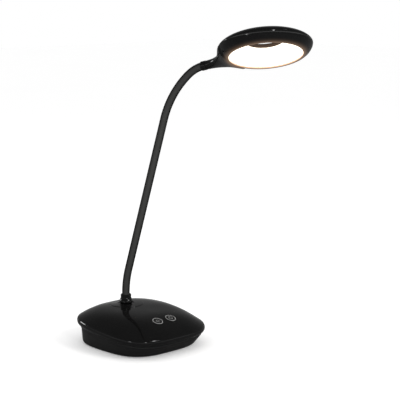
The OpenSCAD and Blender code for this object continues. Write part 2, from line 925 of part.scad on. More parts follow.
module upper_ferrule() {
    color("#a8a9ab")
        on_head()
            translate([0, 0, stem_z])
                mirror([0, 0, 1])
                    ferrule(head_stub_l - stem_z, upper_barrel);
}

module head_collar() {
    color("#171717")
        on_head()
            difference() {
                translate([0, 0, -stem_z])
                    cylinder(d = head_collar_d, h = 2 * stem_z - slip);
                translate([0, 0, -stem_z - CUT])
                    cylinder(d = sleeve_d + air, h = 2 * stem_z + 2 * CUT);
            }
}

module diffuser() {
    r0 = hole_r + 0.2;
    r1 = opening_r - 0.1;
    low = shelf_u - 0.6;
    color("#fdf6e6")
        on_ring()
            rotate_extrude($fn = ring_turn)
                polygon(concat(
                    quarter(r0, r1, low, diffuser_top - flange_t, bowl_curve),
                    [[r0, diffuser_top]],
                    backward(quarter(r0 + 3, r1 + diffuser_t - 0.1, shelf_u + flange_t, diffuser_top, bowl_curve)),
                    [[flange_r, shelf_u + flange_t], [flange_r, shelf_u], [r1, shelf_u]]
                ));
}

module ring_band(r_in, r_out, u0, u1) {
    translate([0, 0, u0])
        tube(2 * r_out, 2 * r_in, u1 - u0, $fn = ring_turn);
}

seat_u = shelf_u + flange_t;

module heat_ring() {
    color("#c8cacc")
        on_ring()
            ring_band(heat_ring_r - heat_ring_t, heat_ring_r, seat_u, seat_u + heat_ring_h);
}

strip_r = heat_ring_r - heat_ring_t - slip;

module led_strip() {
    color("#f2f2ee")
        on_ring()
            ring_band(strip_r - strip_t, strip_r, seat_u, seat_u + strip_h);
}

module led_chips() {
    color("#ffe9b0")
        on_ring()
            for (i = [0 : led_count - 1])
                rotate([0, 0, 360 * i / led_count])
                    translate([strip_r - strip_t - led_size[2] - slip, -led_size[0] / 2, seat_u + 2])
                        cube([led_size[2], led_size[0], led_size[1]]);
}

base_top_shell();
base_tray();
foot_pad();
ballast_plate();
ballast_screws();
housing_screws();
control_board();
control_board_screws();
touch_springs();
battery_cell();
battery_cradle();
charge_board();
charge_board_screws();
charging_inlet();
arm_collar();
lower_ferrule();
lock_washer();
arm_nut();
arm_sleeve();
lamp_lead();
core(1);  // core_01
core(2);  // core_02
core(3);  // core_03
core(4);  // core_04
core(5);  // core_05
core(6);  // core_06
core(7);  // core_07
core(8);  // core_08
core(9);  // core_09
core(10);  // core_10
core(11);  // core_11
core(12);  // core_12
core(13);  // core_13
head_collar();
upper_ferrule();
ferrule_grub_screw();
head_housing();
head_cover();
diffuser();
heat_ring();
led_strip();
led_chips();
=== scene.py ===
"""Gooseneck desk lamp: smooth mouldings, sleeved arm and lit head on the fixed CAD frame."""

import math

import bmesh
import bpy
import numpy as np
from bpy.props import FloatProperty, FloatVectorProperty, PointerProperty
from mathutils import Euler, Matrix, Vector


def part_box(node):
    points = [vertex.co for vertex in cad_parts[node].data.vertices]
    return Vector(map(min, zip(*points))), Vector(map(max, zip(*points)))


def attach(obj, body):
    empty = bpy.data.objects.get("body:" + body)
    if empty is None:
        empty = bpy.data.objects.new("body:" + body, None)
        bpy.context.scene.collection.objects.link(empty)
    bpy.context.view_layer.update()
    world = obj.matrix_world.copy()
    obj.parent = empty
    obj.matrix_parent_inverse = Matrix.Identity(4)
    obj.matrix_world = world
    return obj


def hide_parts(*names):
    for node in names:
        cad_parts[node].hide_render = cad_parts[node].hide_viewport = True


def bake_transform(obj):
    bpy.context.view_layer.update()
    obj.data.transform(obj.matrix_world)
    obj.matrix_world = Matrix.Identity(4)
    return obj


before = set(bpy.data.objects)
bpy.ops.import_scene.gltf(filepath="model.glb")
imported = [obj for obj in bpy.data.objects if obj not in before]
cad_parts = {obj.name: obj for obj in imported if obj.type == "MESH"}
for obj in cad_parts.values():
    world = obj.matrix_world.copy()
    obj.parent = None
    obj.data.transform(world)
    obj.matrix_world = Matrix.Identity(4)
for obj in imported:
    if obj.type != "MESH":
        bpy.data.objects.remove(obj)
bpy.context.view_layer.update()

bl_info = {
    "name": "Gooseneck desk lamp",
    "version": (1, 0, 0),
    "blender": (4, 5, 0),
    "location": "View3D > Sidebar > Desk lamp",
    "description": "Builds the visible mouldings, sleeve, light and stage of a gooseneck desk lamp",
    "category": "Object",
}


# ---- Sizes and colours ----


def srgb(code):
    """Linear colour of an sRGB hex value."""
    parts = [int(code[i : i + 2], 16) / 255 for i in (1, 3, 5)]
    return tuple(c / 12.92 if c <= 0.04045 else ((c + 0.055) / 1.055) ** 2.4 for c in parts)


def length(name, description, default):
    return FloatProperty(name=name, description=description, default=default, unit="LENGTH", precision=5)


def angle(name, description, degrees):
    return FloatProperty(name=name, description=description, default=math.radians(degrees), subtype="ANGLE")


def colour(name, description, code):
    return FloatVectorProperty(
        name=name, description=description, default=srgb(code), size=3, min=0, max=1, subtype="COLOR"
    )


class BaseSizes(bpy.types.PropertyGroup):
    width: length("Width", "Width across the widest line of the base", 0.134)
    depth: length("Depth", "Length of the base from front to back", 0.140)
    swell: length("Swell", "How far the moulded skin stands out past the plain solid all round", 0.001)
    fullness: FloatProperty(name="Fullness", description="3 is the plain crown, larger is fuller", default=4.5)
    squareness: FloatProperty(name="Squareness", description="2 is an ellipse, larger is squarer", default=3.2)
    rim_height: length("Rim height", "Edge line above the desk, halfway along the base", 0.0287)
    wedge: angle("Wedge", "Slope of the edge line from back to front", 4.5)
    crown_rise: length("Crown rise", "Rise of the crown above the edge line", 0.016)
    bulge: length("Edge bulge", "How far the rounded edge stands out past the edge line", 0.001)
    skirt: length("Skirt", "Height of the skirt below the edge line", 0.0085)
    tuck: length("Skirt tuck", "How far the skirt's lower edge draws in", 0.0034)
    draft: length("Side draft", "How far the tray's sides draw in toward the desk", 0.004)
    front_draft: length("Front draft", "How far the tray's front draws in toward the desk", 0.009)
    pad: length("Foot pad", "Thickness of the foot pad", 0.0012)
    disc_radius: length("Disc radius", "Radius of the low disc around the arm", 0.022)
    disc_rise: length("Disc rise", "Height of the low disc above the crown", 0.0004)
    seat_radius: length("Seat radius", "Radius of the collar's seat", 0.0105)
    key_spacing: length("Key spacing", "Distance between the two touch keys", 0.021)
    key_front: length("Key distance", "Distance of the touch keys in front of the middle", 0.0425)


class ArmSizes(bpy.types.PropertyGroup):
    foot_back: length("Foot position", "Distance of the arm's foot behind the middle of the base", 0.028)
    yaw: angle("Direction", "Direction in which the arm leans, from straight ahead toward the right", 20)
    foot_rise: length("Foot height", "Height at which the sleeve leaves the collar, above the base", 0.0117)
    sleeve_radius: length("Sleeve radius", "Outer radius of the sleeve", 0.00475)
    lead_radius: length("Lead radius", "Radius of the lead inside the arm", 0.0012)
    low_bend: angle("Low bend", "Bend of the lowest stretch", 15)
    low_radius: length("Low radius", "Radius of the lowest bend", 0.120)
    straight: length("Straight", "Length of the straight stretch", 0.196)
    mid_bend: angle("Upper bend", "Bend of the upper stretch", 32.5)
    mid_radius: length("Upper radius", "Radius of the upper bend", 0.115)
    top_bend: angle("Top bend", "Bend just below the head", 28.75)
    top_radius: length("Top radius", "Radius of the bend below the head", 0.046)


class HeadSizes(bpy.types.PropertyGroup):
    reach: length("Reach", "Distance from the arm's end to the middle of the ring", 0.0805)
    turn: angle("Turn", "Turn of the head about the end of the arm", 0.75)
    drop: length("Drop", "Depth of the light opening's plane below the arm's axis", 0.0056)
    opening: length("Opening", "Radius of the light opening", 0.0427)
    radius: length("Radius", "Largest radius of the ring", 0.0549)
    hole: length("Hole", "Radius of the hole in the middle", 0.022)
    parting: length("Parting line", "Height of the parting line above the opening", 0.011)
    crown: length("Crown", "Height of the crown above the parting line", 0.0115)
    stem: length("Stem", "Diameter of the stem where it meets the arm", 0.0106)


class Finishes(bpy.types.PropertyGroup):
    gloss: colour("Gloss black", "Moulded gloss housings", "#0b0b0b")
    satin: colour("Satin black", "Spark-eroded tray", "#141414")
    silicone: colour("Silicone", "Sleeve of the arm", "#3b3b3a")
    pad: colour("Foot pad", "Non-slip pad", "#1b1b1c")
    mark: colour("Key marks", "Printed signs of the touch keys", "#dadad8")
    light: colour("Light", "Colour of the lit dish", "#fff1dc")
    floor: colour("Floor", "Pale floor", "#fafafa")
    glow: FloatProperty(name="Glow", description="Strength of the lit dish", default=1.5, min=0, soft_max=10)


def sizes():
    """Sizes of the base, the arm and the head."""
    return bpy.context.scene.lamp_base, bpy.context.scene.lamp_arm, bpy.context.scene.lamp_head


# ---- Shape of the base ----

# Where the crown is fuller than the plain solid: it grows over FULL_PAST_SEAT from the collar's seat, and over
# FULL_RUN from FULL_FRONT toward the back, and loses CORNER_LOSS of it at the corners.
FULL_PAST_SEAT = 0.025
FULL_FRONT = -0.055
FULL_RUN = 0.040
CORNER_LOSS = 0.7
# Power of the plain solid's crown.
PLAIN_CROWN = 3


def ease(t):
    """Smooth step from 0 to 1."""
    t = np.clip(t, 0, 1)
    return t**2 * (3 - 2 * t)


def rim_plane(y):
    """Height of the sloping plane that the edge line lies in."""
    base = sizes()[0]
    return base.rim_height + math.tan(base.wedge) * y


def reach(x, y):
    """Distance from the middle of the base as a share of the way to the edge line."""
    base = sizes()[0]
    p = base.squareness
    a = np.abs(x) / (base.width / 2 - base.bulge)
    b = np.abs(y) / (base.depth / 2 - base.bulge)
    return (a**p + b**p) ** (1 / p)


def crown_height(x, y):
    """Height of the plain solid's crown."""
    base = sizes()[0]
    return rim_plane(y) + base.crown_rise * (1 - np.minimum(reach(x, y), 1) ** PLAIN_CROWN)


def skin_height(x, y):
    """Height of the moulded crown: fuller than the plain solid at the sides and the back, away from the collar."""
    base, arm = sizes()[:2]
    share = np.minimum(reach(x, y), 1)
    past_seat = np.hypot(x, y - arm.foot_back) - base.seat_radius
    where = ease(past_seat / FULL_PAST_SEAT) * ease((y - FULL_FRONT) / FULL_RUN)
    corner = np.sin(2 * np.arctan2(y / base.depth, x / base.width)) ** 2
    gain = base.crown_rise * (share**PLAIN_CROWN - share**base.fullness)
    return crown_height(x, y) + gain * where * (1 - CORNER_LOSS * corner)


def outline(turns, half_width, front, back, z, slope):
    """Ring of the rounded-square outline at the given turns, on a plane that slopes from front to back."""
    p = sizes()[0].squareness
    c, s = np.cos(turns), np.sin(turns)
    k = (np.abs(c) ** p + np.abs(s) ** p) ** (-1 / p)
    y = (front + back) / 2 + (back - front) / 2 * k * s
    return np.stack([half_width * k * c, y, z + slope * y], axis=1)


def swollen(rings):
    """Rings of the base drawn outward toward the edge, where the moulding stands outside the plain solid."""
    base = sizes()[0]
    out = []
    for ring in rings:
        ring = np.array(ring, float)
        share = np.minimum(reach(ring[:, 0], ring[:, 1]), 1)
        ring[:, :2] *= (1 + 2 * base.swell / base.width * share**4)[:, None]
        out.append(ring)
    return out


def rim_ring(turns, inset, dz):
    """Ring at an inset from the widest line, at a height above the edge line."""
    base = sizes()[0]
    hw, hl = base.width / 2, base.depth / 2
    return outline(turns, hw - inset, inset - hl, hl - inset, base.rim_height + dz, math.tan(base.wedge))


# ---- Path of the arm ----

# Lead in the base: its level run from the control board, its turn into the arm, and the level run's height.
LEAD_RUN = 0.044
LEAD_TURN = 0.008
LEAD_LEVEL = 0.025103
# Step of the collar above the crown, and the stop in the collar that the sleeve stands on.
COLLAR_STEP = 0.0005
SHOULDER_TOP = 0.0530506
# Where the stem starts past the arm's end, the depth of the stop there, and the slip between sleeve and stop.
STEM_START = 0.003
SHOULDER = 0.002
SLIP = 0.00005
# Ledge in the head that carries the dish, the dish's depth below the crown, and how low the opening's lip hangs.
SHELF = 0.004
DISH_BELOW_CROWN = 0.0052
LIP_LOW = -0.0008
JOINTS = 12


def foot_height():
    """Height at which the sleeve leaves the collar."""
    arm = sizes()[1]
    return crown_height(0, arm.foot_back) + COLLAR_STEP + arm.foot_rise


def arm_spans():
    """[length, bend] of each span of the path, from the control board to the head."""
    arm, head = sizes()[1:]
    return [
        (LEAD_RUN, 0),
        (LEAD_TURN * math.pi / 2, math.pi / 2),
        (foot_height() - LEAD_LEVEL - LEAD_TURN, 0),
        (arm.low_radius * arm.low_bend, arm.low_bend),
        (arm.straight, 0),
        (arm.mid_radius * arm.mid_bend, arm.mid_bend),
        (arm.top_radius * arm.top_bend, arm.top_bend),
        (head.reach - head.opening - SHELF, 0),
    ]


class ArmPath:
    """Axis of the arm: straight and circular spans in one upright plane."""

    def __init__(self):
        arm = sizes()[1]
        self.spans = arm_spans()
        self.starts = [0.0]
        self.leans = [-math.pi / 2]
        self.places = [np.zeros(2)]
        for run, bend in self.spans:
            self.places.append(self.places[-1] + self._travel(run, bend, self.leans[-1]))
            self.starts.append(self.starts[-1] + run)
            self.leans.append(self.leans[-1] + bend)
        self.side = np.array([math.cos(arm.yaw), math.sin(arm.yaw), 0])
        self.ahead = np.array([math.sin(arm.yaw), -math.cos(arm.yaw), 0])
        foot_z = foot_height()
        self.foot = np.array([0, arm.foot_back, foot_z])
        self.foot_s, self.straight_s, self.head_s = self.starts[3], self.starts[4], self.starts[7]
        sleeve_start = self.foot_s - (foot_z - SHOULDER_TOP) + SLIP
        self.sleeve = (sleeve_start, self.head_s + STEM_START - SHOULDER - SLIP)
        self.pitch = (self.head_s - self.straight_s) / (JOINTS - 1)

    @staticmethod
    def _travel(run, bend, lean):
        """Way ahead and up along a span that starts at the given lean from upright."""
        if abs(bend) < 1e-9:
            return np.array([run * math.sin(lean), run * math.cos(lean)])
        r = run / bend
        ahead, up = math.cos(lean) - math.cos(lean + bend), math.sin(lean + bend) - math.sin(lean)
        return np.array([r * ahead, r * up])

    def at(self, s):
        """Point, and the direction along the arm, at a distance s."""
        i = max(k for k in range(len(self.spans)) if s >= self.starts[k] - 1e-9)
        run, bend = self.spans[i]
        part = bend * (s - self.starts[i]) / run
        p = self.places[i] + self._travel(s - self.starts[i], part, self.leans[i]) - self.places[3]
        lean = self.leans[i] + part
        point = self.foot + p[0] * self.ahead + np.array([0, 0, p[1]])
        return point, math.sin(lean) * self.ahead + np.array([0, 0, math.cos(lean)])

    def joint(self, k):
        """Distance of joint k along the path."""
        return self.straight_s + self.pitch * (k - 2)

    def middle(self, k):
        """Middle of core length k, where two sleeve pieces meet."""
        if k == 1:
            return self.foot_s
        if k == JOINTS + 1:
            return (self.joint(JOINTS) + self.head_s) / 2
        return (self.joint(k - 1) + self.joint(k)) / 2


def head_matrix():
    """Frame of the stem: its Z axis runs on from the end of the arm."""
    path = ArmPath()
    point = path.at(path.head_s)[0]
    lean = path.leans[7]
    turn = Matrix.Rotation(sizes()[2].turn, 4, "Z")
    return Matrix.Translation(point) @ Matrix.Rotation(lean, 4, Vector(path.side)) @ turn


def ring_matrix():
    """Frame of the ring: its middle in the plane of the light opening, Z toward the crown."""
    head = sizes()[2]
    to_middle = Matrix.Translation((0, -head.drop, head.reach))
    return head_matrix() @ to_middle @ Matrix.Rotation(-math.pi / 2, 4, "X")


# ---- Meshes ----


def piece(name, points, faces, sharp=40):
    """Object from points and faces, smooth but for edges sharper than an angle in degrees."""
    mesh = bpy.data.meshes.new(name)
    mesh.from_pydata([tuple(p) for p in points], [], faces)
    mesh.validate()
    work = bmesh.new()
    work.from_mesh(mesh)
    bmesh.ops.recalc_face_normals(work, faces=work.faces)
    work.to_mesh(mesh)
    work.free()
    mesh.shade_smooth()
    mesh.set_sharp_from_angle(angle=math.radians(sharp))
    obj = bpy.data.objects.new(name, mesh)
    bpy.context.scene.collection.objects.link(obj)
    return obj


def skin(name, rings, caps=(False, False), closed=False, sharp=40):
    """Quad skin over m rings with n points each."""
    rings = np.asarray(rings)
    m, n = rings.shape[:2]
    faces = []
    for k in range(m if closed else m - 1):
        for i in range(n):
            here, there, after = k * n, (k + 1) % m * n, (i + 1) % n
            faces.append((here + i, here + after, there + after, there + i))
    if caps[0]:
        faces.append(tuple(range(n - 1, -1, -1)))
    if caps[1]:
        faces.append(tuple((m - 1) * n + i for i in range(n)))
    return piece(name, rings.reshape(-1, 3), faces, sharp)


def revolve(name, profile, matrix, sides=192, closed=True, sharp=40):
    """Skin of a profile of (radius, height) points around a matrix's Z axis."""
    turns = np.linspace(0, 2 * math.pi, sides, endpoint=False)
    rings = [np.stack([r * np.cos(turns), r * np.sin(turns), np.full(sides, u)], axis=1) for r, u in profile]
    obj = skin(name, rings, closed=closed, sharp=sharp)
    obj.data.transform(matrix)
    return obj


def rounded(points, radius, steps=4):
    """Closed outline with each corner of 20 degrees or more replaced by a small curve."""
    pts = [np.array(p, float) for p in points]
    out = []
    for i, p in enumerate(pts):
        a, b = pts[i - 1] - p, pts[(i + 1) % len(pts)] - p
        la, lb = np.linalg.norm(a), np.linalg.norm(b)
        turn = math.pi - math.acos(max(-1, min(1, float(a @ b) / (la * lb))))
        if turn < math.radians(20):
            out.append(p)
            continue
        cut = min(radius, 0.45 * la, 0.45 * lb)
        start, end = p + a / la * cut, p + b / lb * cut
        for j in range(steps + 1):
            t = j / steps
            out.append((1 - t) ** 2 * start + 2 * t * (1 - t) * p + t**2 * end)
    return out


def curve_through(points, count):
    """Points evenly along a smooth curve through the given ones."""
    pts = np.array(points, float)
    ext = np.vstack([2 * pts[0] - pts[1], pts, 2 * pts[-1] - pts[-2]])
    out = []
    for i in range(1, len(ext) - 2):
        p0, p1, p2, p3 = ext[i - 1 : i + 3]
        square, cube = 2 * p0 - 5 * p1 + 4 * p2 - p3, 3 * p1 - p0 - 3 * p2 + p3
        for j in range(count):
            t = j / count
            out.append(0.5 * (2 * p1 + (p2 - p0) * t + square * t**2 + cube * t**3))
    out.append(pts[-1])
    return out


def quarter(r0, r1, u0, u1, power, steps=24):
    """Quarter of a superellipse from (r1, u0) to (r0, u1)."""
    out = []
    for i in range(steps + 1):
        a = math.pi / 2 * i / steps
        across, up = max(0, math.cos(a)) ** (2 / power), math.sin(a) ** (2 / power)
        out.append((r0 + (r1 - r0) * across, u0 + (u1 - u0) * up))
    return out


def tube(name, path, s0, s1, radius, sides, step, caps=(False, False)):
    """Round tube along the arm's path."""
    turns = np.linspace(0, 2 * math.pi, sides, endpoint=False)
    rings = []
    count = max(1, math.ceil((s1 - s0) / step))
    for i in range(count + 1):
        point, along = path.at(s0 + (s1 - s0) * i / count)
        out = np.cross(along, path.side)
        spokes = np.cos(turns)[:, None] * path.side + np.sin(turns)[:, None] * out
        rings.append(point + radius * spokes)
    return skin(name, rings, caps=caps, sharp=60)


def cut_away(obj, cutter, sharp=45):
    """Takes the cutter's volume from a piece."""
    modifier = obj.modifiers.new("cut", "BOOLEAN")
    modifier.object = cutter
    modifier.operation = "DIFFERENCE"
    modifier.solver = "EXACT"
    bpy.context.view_layer.update()
    mesh = bpy.data.meshes.new_from_object(obj.evaluated_get(bpy.context.evaluated_depsgraph_get()))
    if len(mesh.polygons) < len(obj.data.polygons) / 4:
        raise RuntimeError(f"cutting {cutter.name} from {obj.name} took too much away")
    obj.modifiers.clear()
    obj.data = mesh
    mesh.shade_smooth()
    mesh.set_sharp_from_angle(angle=math.radians(sharp))
    bpy.data.objects.remove(cutter)


def crossings(value, grid):
    """For each cell of a grid: sum and number of the points where the field changes sign on the cell's edges."""
    cells = tuple(n - 1 for n in value.shape)
    total = np.zeros(cells + (3,))
    count = np.zeros(cells)
    for axis in range(3):
        others = [a for a in range(3) if a != axis]
        for p in (0, 1):
            for q in (0, 1):
                index = [slice(0, -1)] * 3
                index[others[0]] = slice(p, value.shape[others[0]] - 1 + p)
                index[others[1]] = slice(q, value.shape[others[1]] - 1 + q)
                far = list(index)
                far[axis] = slice(1, None)
                near, far = tuple(index), tuple(far)
                a, b = value[near], value[far]
                crossed = (a < 0) != (b < 0)
                t = np.where(crossed, a / np.where(crossed, a - b, 1), 0)[..., None]
                total += np.where(crossed[..., None], grid[near] * (1 - t) + grid[far] * t, 0)
                count += crossed
    return total, count


def cell_quads(inside, number):
    """Quads between the numbered cells, one around each grid edge that crosses the surface."""
    quads = []
    for axis in range(3):
        u, v = [a for a in range(3) if a != axis]
        first = [slice(1, -1) if a != axis else slice(0, -1) for a in range(3)]
        second = [slice(1, -1) if a != axis else slice(1, None) for a in range(3)]
        a, b = inside[tuple(first)], inside[tuple(second)]
        for flip in (False, True):
            where = np.argwhere((a & ~b) if flip else (~a & b))
            where[:, u] += 1
            where[:, v] += 1
            corners = []
            for du, dv in ((-1, -1), (0, -1), (0, 0), (-1, 0)):
                corner = where.copy()
                corner[:, u] += du
                corner[:, v] += dv
                corners.append(number[tuple(corner.T)])
            quad = np.stack(corners, axis=1)
            turned = flip != (axis == 1)
            quads.append(quad if turned else quad[:, ::-1])
    return np.vstack(quads)


def settled(points, field, step):
    """Points moved on to the surface, by at most 0.4 of a step each time."""
    probe = step * 0.05
    for _ in range(4):
        here = field(points)
        slope = np.stack([(field(points + d) - field(points - d)) / (2 * probe) for d in np.eye(3) * probe], axis=1)
        size = np.maximum((slope**2).sum(axis=1), 0.1)
        move = -(here / size)[:, None] * slope
        far = np.linalg.norm(move, axis=1, keepdims=True)
        points = points + move * np.minimum(1, 0.4 * step / np.maximum(far, 1e-12))
    return points


def net(name, field, low, high, step, matrix):
    """Smooth skin where a field of distances is zero: one point in each crossed cell, moved on to the surface."""
    axes = [np.arange(low[i], high[i] + step, step) for i in range(3)]
    grid = np.stack(np.meshgrid(*axes, indexing="ij"), axis=-1)
    value = field(grid.reshape(-1, 3)).reshape(grid.shape[:3])
    total, count = crossings(value, grid)
    active = count > 0
    number = np.full(count.shape, -1)
    number[active] = np.arange(active.sum())
    points = settled(total[active] / count[active][:, None], field, step)
    faces = [tuple(int(i) for i in quad) for quad in cell_quads(value < 0, number)]
    obj = piece(name, points, faces, sharp=50)
    obj.data.transform(matrix)
    return obj


# ---- Materials ----


def add(tree, kind, inputs=(), **settings):
    """One shader node with its settings. Its inputs, by name or in their own order, are set or linked."""
    node = tree.nodes.new("ShaderNode" + kind)
    for key, value in settings.items():
        setattr(node, key, value)
    for key, value in inputs.items() if isinstance(inputs, dict) else enumerate(inputs):
        if isinstance(value, bpy.types.NodeSocket):
            tree.links.new(value, node.inputs[key])
        else:
            node.inputs[key].default_value = value
    return node


def new_material(name):
    material = bpy.data.materials.new(name)
    material.use_nodes = True
    tree = material.node_tree
    tree.nodes.clear()
    return material, tree


def finish_material(tree, shader):
    add(tree, "OutputMaterial", {"Surface": shader.outputs[0]})


# The wipes in the gloss are finer than the patches in the tone by this share, and use this part of the noise.
WIPE_SHARE = 0.35
WIPE_RANGE = (0.3, 0.7)
# Painted edge shade: the colour darkens toward this black as a face turns away from view, and is darkest where it
# has turned this far away.
EDGE_SHADE_TURN = 0.55
EDGE_SHADE_BLACK = (0.001, 0.001, 0.001, 1)


def moulded(
    name, tint, tint_2, roughness, spread, grain_mm, grain_depth,
    patch_mm=18, painted_edge_shade=0.0, spill=False, **shader_inputs
):
    """Plastic, rubber or metal: patchy tone, uneven gloss and a grain, with all sizes in millimetres.

    A grain finer than about half a millimetre is drawn coarser than the real one, so that it can show. A painted
    edge shade, when asked for, darkens the colour where the faces turn away from view.
    """
    material, tree = new_material(name)
    place = add(tree, "TexCoord").outputs["Object"]
    patches = add(tree, "TexNoise", {"Vector": place, "Scale": 1000 / patch_mm, "Detail": 3.0, "Roughness": 0.55})
    tints = {"A": (*tint, 1), "B": (*tint_2, 1)}
    tone = add(tree, "Mix", {"Factor": patches.outputs["Fac"], **tints}, data_type="RGBA").outputs["Result"]
    wipe_scale = 1000 / (patch_mm * WIPE_SHARE)
    wipes = add(tree, "TexNoise", {"Vector": place, "Scale": wipe_scale, "Detail": 5.0, "Distortion": 0.6})
    gloss = add(tree, "MapRange", (wipes.outputs["Fac"], *WIPE_RANGE, roughness - spread, roughness + spread))
    grain = add(tree, "TexNoise", {"Vector": place, "Scale": 1000 / grain_mm, "Detail": 2.0})
    bump = add(tree, "Bump", {"Height": grain.outputs["Fac"], "Distance": grain_depth, "Strength": 1.0})
    # Painted shade: the sides that turn away from view are darkened in the colour itself, not by the lamps.
    if painted_edge_shade:
        facing = add(tree, "LayerWeight", {"Blend": 0.5}).outputs["Facing"]
        share = add(tree, "MapRange", (facing, 0.0, EDGE_SHADE_TURN, 0.0, painted_edge_shade)).outputs["Result"]
        tone = add(tree, "Mix", {"Factor": share, "A": tone, "B": EDGE_SHADE_BLACK}, data_type="RGBA").outputs["Result"]
    inputs = {"Base Color": tone, "Roughness": gloss.outputs["Result"], "Normal": bump.outputs["Normal"]}
    if spill:
        inputs["Emission Strength"] = light_spill(tree, place)
        inputs["Emission Color"] = (*SPILL_COLOUR, 1)
    inputs.update(shader_inputs)
    finish_material(tree, add(tree, "BsdfPrincipled", inputs))
    return material


# Light of the dish on the plastic next to it: its colour, how far it reaches and the power it falls off with.
SPILL_COLOUR = (0.30, 0.19, 0.125)
SPILL_REACH = 0.0095
SPILL_FALL = 3.0
# What the upright inner face of the lip gets on top of that, as it looks straight at the dish.
LIP_GAIN = 3.5
# Strength on the wall of the hole, at the crown and at the dish.
HOLE_GLOW = (0.12, 0.36)


def light_spill(tree, place):
    """Strength of the warm light that the dish spills on the lip around it and on the wall of the hole."""
    head = sizes()[2]
    to_ring = ring_matrix().inverted()
    # Where the point is in the ring's own frame: its distance from the axis, and its height.
    turned = {"Vector": place, "Location": to_ring.translation, "Rotation": to_ring.to_euler()}
    mapped = add(tree, "Mapping", turned).outputs["Vector"]
    axes = add(tree, "SeparateXYZ", (mapped,)).outputs
    height = axes["Z"]
    flat = add(tree, "CombineXYZ", {"X": axes["X"], "Y": axes["Y"]}).outputs["Vector"]
    radius = add(tree, "VectorMath", (flat,), operation="LENGTH").outputs["Value"]
    # Around the opening: strongest at its edge.
    section = add(tree, "CombineXYZ", {"X": radius, "Y": height}).outputs["Vector"]
    edge = (head.opening, 0, 0)
    away = add(tree, "VectorMath", (section, edge), operation="DISTANCE").outputs["Value"]
    near = add(tree, "MapRange", (away, SPILL_REACH, 0.0, 0.0, 1.0)).outputs["Result"]
    lip = add(tree, "Math", (near, SPILL_FALL), operation="POWER").outputs[0]
    # The lip's inner face, above its rounded lower edge.
    inside = (radius, head.opening + 0.0004, head.opening + 0.0001, 0.0, LIP_GAIN)
    above = (height, LIP_LOW + 0.0003, 0.0002, 0.0, 1.0)
    face, upper = (add(tree, "MapRange", span).outputs["Result"] for span in (inside, above))
    gain = add(tree, "Math", (face, upper, 1.0), operation="MULTIPLY_ADD").outputs[0]
    inner = add(tree, "Math", (gain, lip), operation="MULTIPLY").outputs[0]
    # The wall of the hole.
    top = head.parting + head.crown
    at_wall = (radius, head.hole + 0.0006, head.hole + 0.0002, 0.0, 1.0)
    down_wall = (height, top, top - DISH_BELOW_CROWN, *HOLE_GLOW)
    wall, depth = (add(tree, "MapRange", span).outputs["Result"] for span in (at_wall, down_wall))
    hole = add(tree, "Math", (wall, depth), operation="MULTIPLY").outputs[0]
    return add(tree, "Math", (inner, hole), operation="ADD").outputs[0]


def lighter(tint, times):
    """The second tint of a finish, as a multiple of the first."""
    return tuple(v * times for v in tint)


